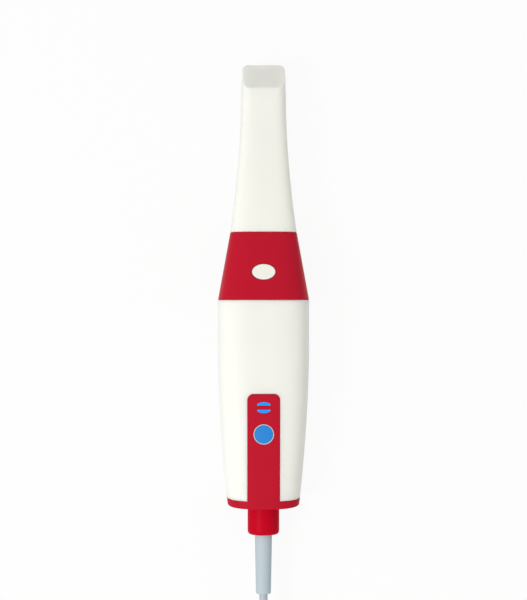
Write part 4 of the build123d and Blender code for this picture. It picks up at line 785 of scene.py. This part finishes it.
def coilPoints():
    # clockwise circles; each keeps its radius and height, and glides to the next one's along a smooth step
    # over its last stretch; the turns rise along a bell curve where the tie holds them
    radii = np.array([turn[0] for turn in cord["turns"]])
    heights = np.array([turn[1] for turn in cord["turns"]])
    count = len(radii) * cord["perTurn"]
    travel = np.arange(count) / cord["perTurn"]
    index = np.minimum(travel.astype(int), len(radii) - 1)
    after = np.minimum(index + 1, len(radii) - 1)
    step = np.clip((travel - index - cord["holdShare"]) / (1 - cord["holdShare"]), 0, 1)
    step = step * step * (3 - 2 * step)
    radius = (radii[index] * (1 - step) + radii[after] * step) / math.cos(math.pi / cord["perTurn"])
    height = heights[index] * (1 - step) + heights[after] * step
    angle = np.radians(cord["joinAngle"]) - 2 * np.pi * travel
    nearTie = np.exp(-((np.mod(angle, 2 * np.pi) - np.pi) / cord["tieAngle"]) ** 2)
    crossing = np.where(heights[index] > cord["crossAbove"], cord["crossLift"], 0.0) * np.sin(np.pi * step)
    height = height + cord["tieLift"] * nearTie + crossing
    return np.stack([cord["coilX"] + radius * np.cos(angle), cord["coilY"] + radius * np.sin(angle), height],
                    axis=-1)


cordPoints = np.concatenate([cord["lead"], coilPoints(), cord["tail"]])
cordCurve = bpy.data.curves.new("cord", "CURVE")
cordCurve.dimensions = "3D"
cordCurve.bevel_depth = cord["radius"] * mm
cordCurve.bevel_resolution = cord["rounding"]
cordCurve.use_fill_caps = True
spline = cordCurve.splines.new("NURBS")
spline.points.add(len(cordPoints) - 1)
weightedPoints = np.concatenate([cordPoints * mm, np.ones((len(cordPoints), 1))], axis=1)
spline.points.foreach_set("co", weightedPoints.ravel())
spline.order_u = cord["order"]
spline.use_endpoint_u = True
spline.resolution_u = cord["smoothness"]
spline.use_smooth = True
cordPiece = bpy.data.objects.new("cord", cordCurve)
scene.collection.objects.link(cordPiece)
dress(cordPiece, "cordGrey")
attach(cordPiece, "handle")
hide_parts("cord_lead", "cord_coil", "cord_tail")

# plug grip at the cord's far end
plug = {"x": 12.4, "back": -188.0, "height": 4.0, "length": 22.0, "width": 15.5, "thick": 8.0, "edge": 0.9,
        "edgeRows": 8, "around": 96, "power": 5.0, "cuffDepths": [-6.0, -5.6, -3.0, -0.4],
        "cuffRadii": [2.2, 2.6, 2.9, 3.15], "cuffPower": 2.0}


def plugRings():
    # the cuff's growing circles, then the grip's superellipse with a quarter circle at both edges
    angle = np.linspace(0, 2 * np.pi, plug["around"], endpoint=False)[None, :]
    turn = np.linspace(0, np.pi / 2, plug["edgeRows"])
    depth = np.concatenate([plug["cuffDepths"], plug["edge"] * (1 - np.cos(turn)),
                            plug["length"] - plug["edge"] * (1 - np.sin(turn))])
    inset = np.concatenate([plug["edge"] * (1 - np.sin(turn)), plug["edge"] * (1 - np.cos(turn))])
    half = np.concatenate([plug["cuffRadii"], plug["width"] / 2 - inset])
    thick = np.concatenate([plug["cuffRadii"], plug["thick"] / 2 - inset])
    power = np.concatenate([[plug["cuffPower"]] * len(plug["cuffDepths"]), [plug["power"]] * len(inset)])
    right, up = ovalRing(half[:, None], thick[:, None], power[:, None], angle)
    return np.stack([plug["x"] + right, np.broadcast_to(plug["back"] - depth[:, None], right.shape),
                     plug["height"] + up], axis=-1)


plugGrip = ringPiece("plugGrip", plugRings())
dress(plugGrip, "plugBlack")
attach(plugGrip, "handle")
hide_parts("plug_grip")
print("cord and plug made")

# finishes of the nodes that keep their solids
nodeFinishes = {
    "mirrorGlass": ["tip_mirror"],
    "clearGlass": ["nose_window", "projector_lens", "camera_lens_left", "camera_lens_right"],
    "sealRubber": ["nose_seal", "cap_seal"],
    "innerBlack": ["nose_tube", "scan_plunger", "power_plunger", "scan_switch", "power_switch", "cord_clamp",
                   "board_socket", "lead_connector"],
    "screwSteel": ["nose_screws", "scan_board_screws", "button_board_screws", "cap_screws", "clamp_screws",
                   "chassis_screws", "main_board_screws"],
    "boardGreen": ["scan_board", "button_board", "projector_board", "camera_board_left",
                   "camera_board_right", "main_board"],
    "blackMetal": ["optics_block", "projector_barrel", "camera_barrel_left", "camera_barrel_right"],
    "bareAluminium": ["chassis", "heat_sink"],
    "chipBlack": ["board_chips"],
    "lampClear": ["status_leds"],
    "nutBrass": ["gland_nut"],
    "cordGrey": ["inner_lead"],
    "tieBlack": ["cord_tie"],
    "plugMetal": ["plug_shell"],
    "contactBlue": ["plug_contacts"],
}
for finish, names in nodeFinishes.items():
    for name in names:
        dress(nodes[name], finish)
print("nodes dressed")

# floor, world and lamps
studio = {"floorSeen": 0.26, "floorGlow": 0.66, "floorColour": (0.06, 0.06, 0.06, 1.0), "floorHalf": 6.0,
          "floorHeight": -0.0002, "skySeen": 0.985, "skySeenColour": (1.0, 1.0, 1.0, 1.0), "skyLight": 0.72,
          "skyColour": (1.0, 1.0, 0.95, 1.0)}
lamps = {"keyLamp": {"place": (-0.63, -0.33, 0.97), "size": 0.5, "energy": 7.3}}


def seenRays(tree):
    # one for rays from the camera, also off gloss and through glass, and nothing for light on the object
    lightPath = tree.nodes.new("ShaderNodeLightPath")
    mirrored = tree.nodes.new("ShaderNodeMath")
    mirrored.operation = "MAXIMUM"
    through = tree.nodes.new("ShaderNodeMath")
    through.operation = "MAXIMUM"
    tree.links.new(lightPath.outputs["Is Camera Ray"], mirrored.inputs[0])
    tree.links.new(lightPath.outputs["Is Glossy Ray"], mirrored.inputs[1])
    tree.links.new(mirrored.outputs["Value"], through.inputs[0])
    tree.links.new(lightPath.outputs["Is Transmission Ray"], through.inputs[1])
    return through.outputs["Value"]


floorMesh = bpy.data.meshes.new("floor")
floorCorners = [(x * studio["floorHalf"], y * studio["floorHalf"], studio["floorHeight"])
                for x, y in ((-1, -1), (1, -1), (1, 1), (-1, 1))]
floorMesh.from_pydata(floorCorners, [], [(0, 1, 2, 3)])
floor = bpy.data.objects.new("floor", floorMesh)
scene.collection.objects.link(floor)
floorMaterial = bpy.data.materials.new("floorPale")
floorMaterial.use_nodes = True
tree = floorMaterial.node_tree
tree.nodes.clear()
diffuse = tree.nodes.new("ShaderNodeBsdfDiffuse")
diffuse.inputs["Color"].default_value = studio["floorColour"]
glow = tree.nodes.new("ShaderNodeEmission")
seen = tree.nodes.new("ShaderNodeMath")
seen.operation = "MULTIPLY_ADD"
seen.inputs[1].default_value = studio["floorSeen"]
seen.inputs[2].default_value = studio["floorGlow"]
both = tree.nodes.new("ShaderNodeAddShader")
output = tree.nodes.new("ShaderNodeOutputMaterial")
tree.links.new(seenRays(tree), seen.inputs[0])
tree.links.new(seen.outputs["Value"], glow.inputs["Strength"])
tree.links.new(diffuse.outputs["BSDF"], both.inputs[0])
tree.links.new(glow.outputs["Emission"], both.inputs[1])
tree.links.new(both.outputs["Shader"], output.inputs["Surface"])
floorMesh.materials.append(floorMaterial)

world = bpy.data.worlds.new("studio")
world.use_nodes = True
tree = world.node_tree
skyLight = tree.nodes["Background"]
skyLight.inputs["Color"].default_value = studio["skyColour"]
skyLight.inputs["Strength"].default_value = studio["skyLight"]
skySeen = tree.nodes.new("ShaderNodeBackground")
skySeen.inputs["Color"].default_value = studio["skySeenColour"]
skySeen.inputs["Strength"].default_value = studio["skySeen"]
either = tree.nodes.new("ShaderNodeMixShader")
tree.links.new(seenRays(tree), either.inputs["Fac"])
tree.links.new(skyLight.outputs["Background"], either.inputs[1])
tree.links.new(skySeen.outputs["Background"], either.inputs[2])
tree.links.new(either.outputs["Shader"], tree.nodes["World Output"].inputs["Surface"])
scene.world = world

for name, settings in lamps.items():
    lampData = bpy.data.lights.new(name, "AREA")
    lampData.shape = "DISK"
    lampData.size = settings["size"]
    lampData.energy = settings["energy"]
    lamp = bpy.data.objects.new(name, lampData)
    lamp.location = settings["place"]
    lamp.rotation_euler = (-Vector(settings["place"])).to_track_quat("-Z", "Y").to_euler()
    scene.collection.objects.link(lamp)
print("floor and lamps set")
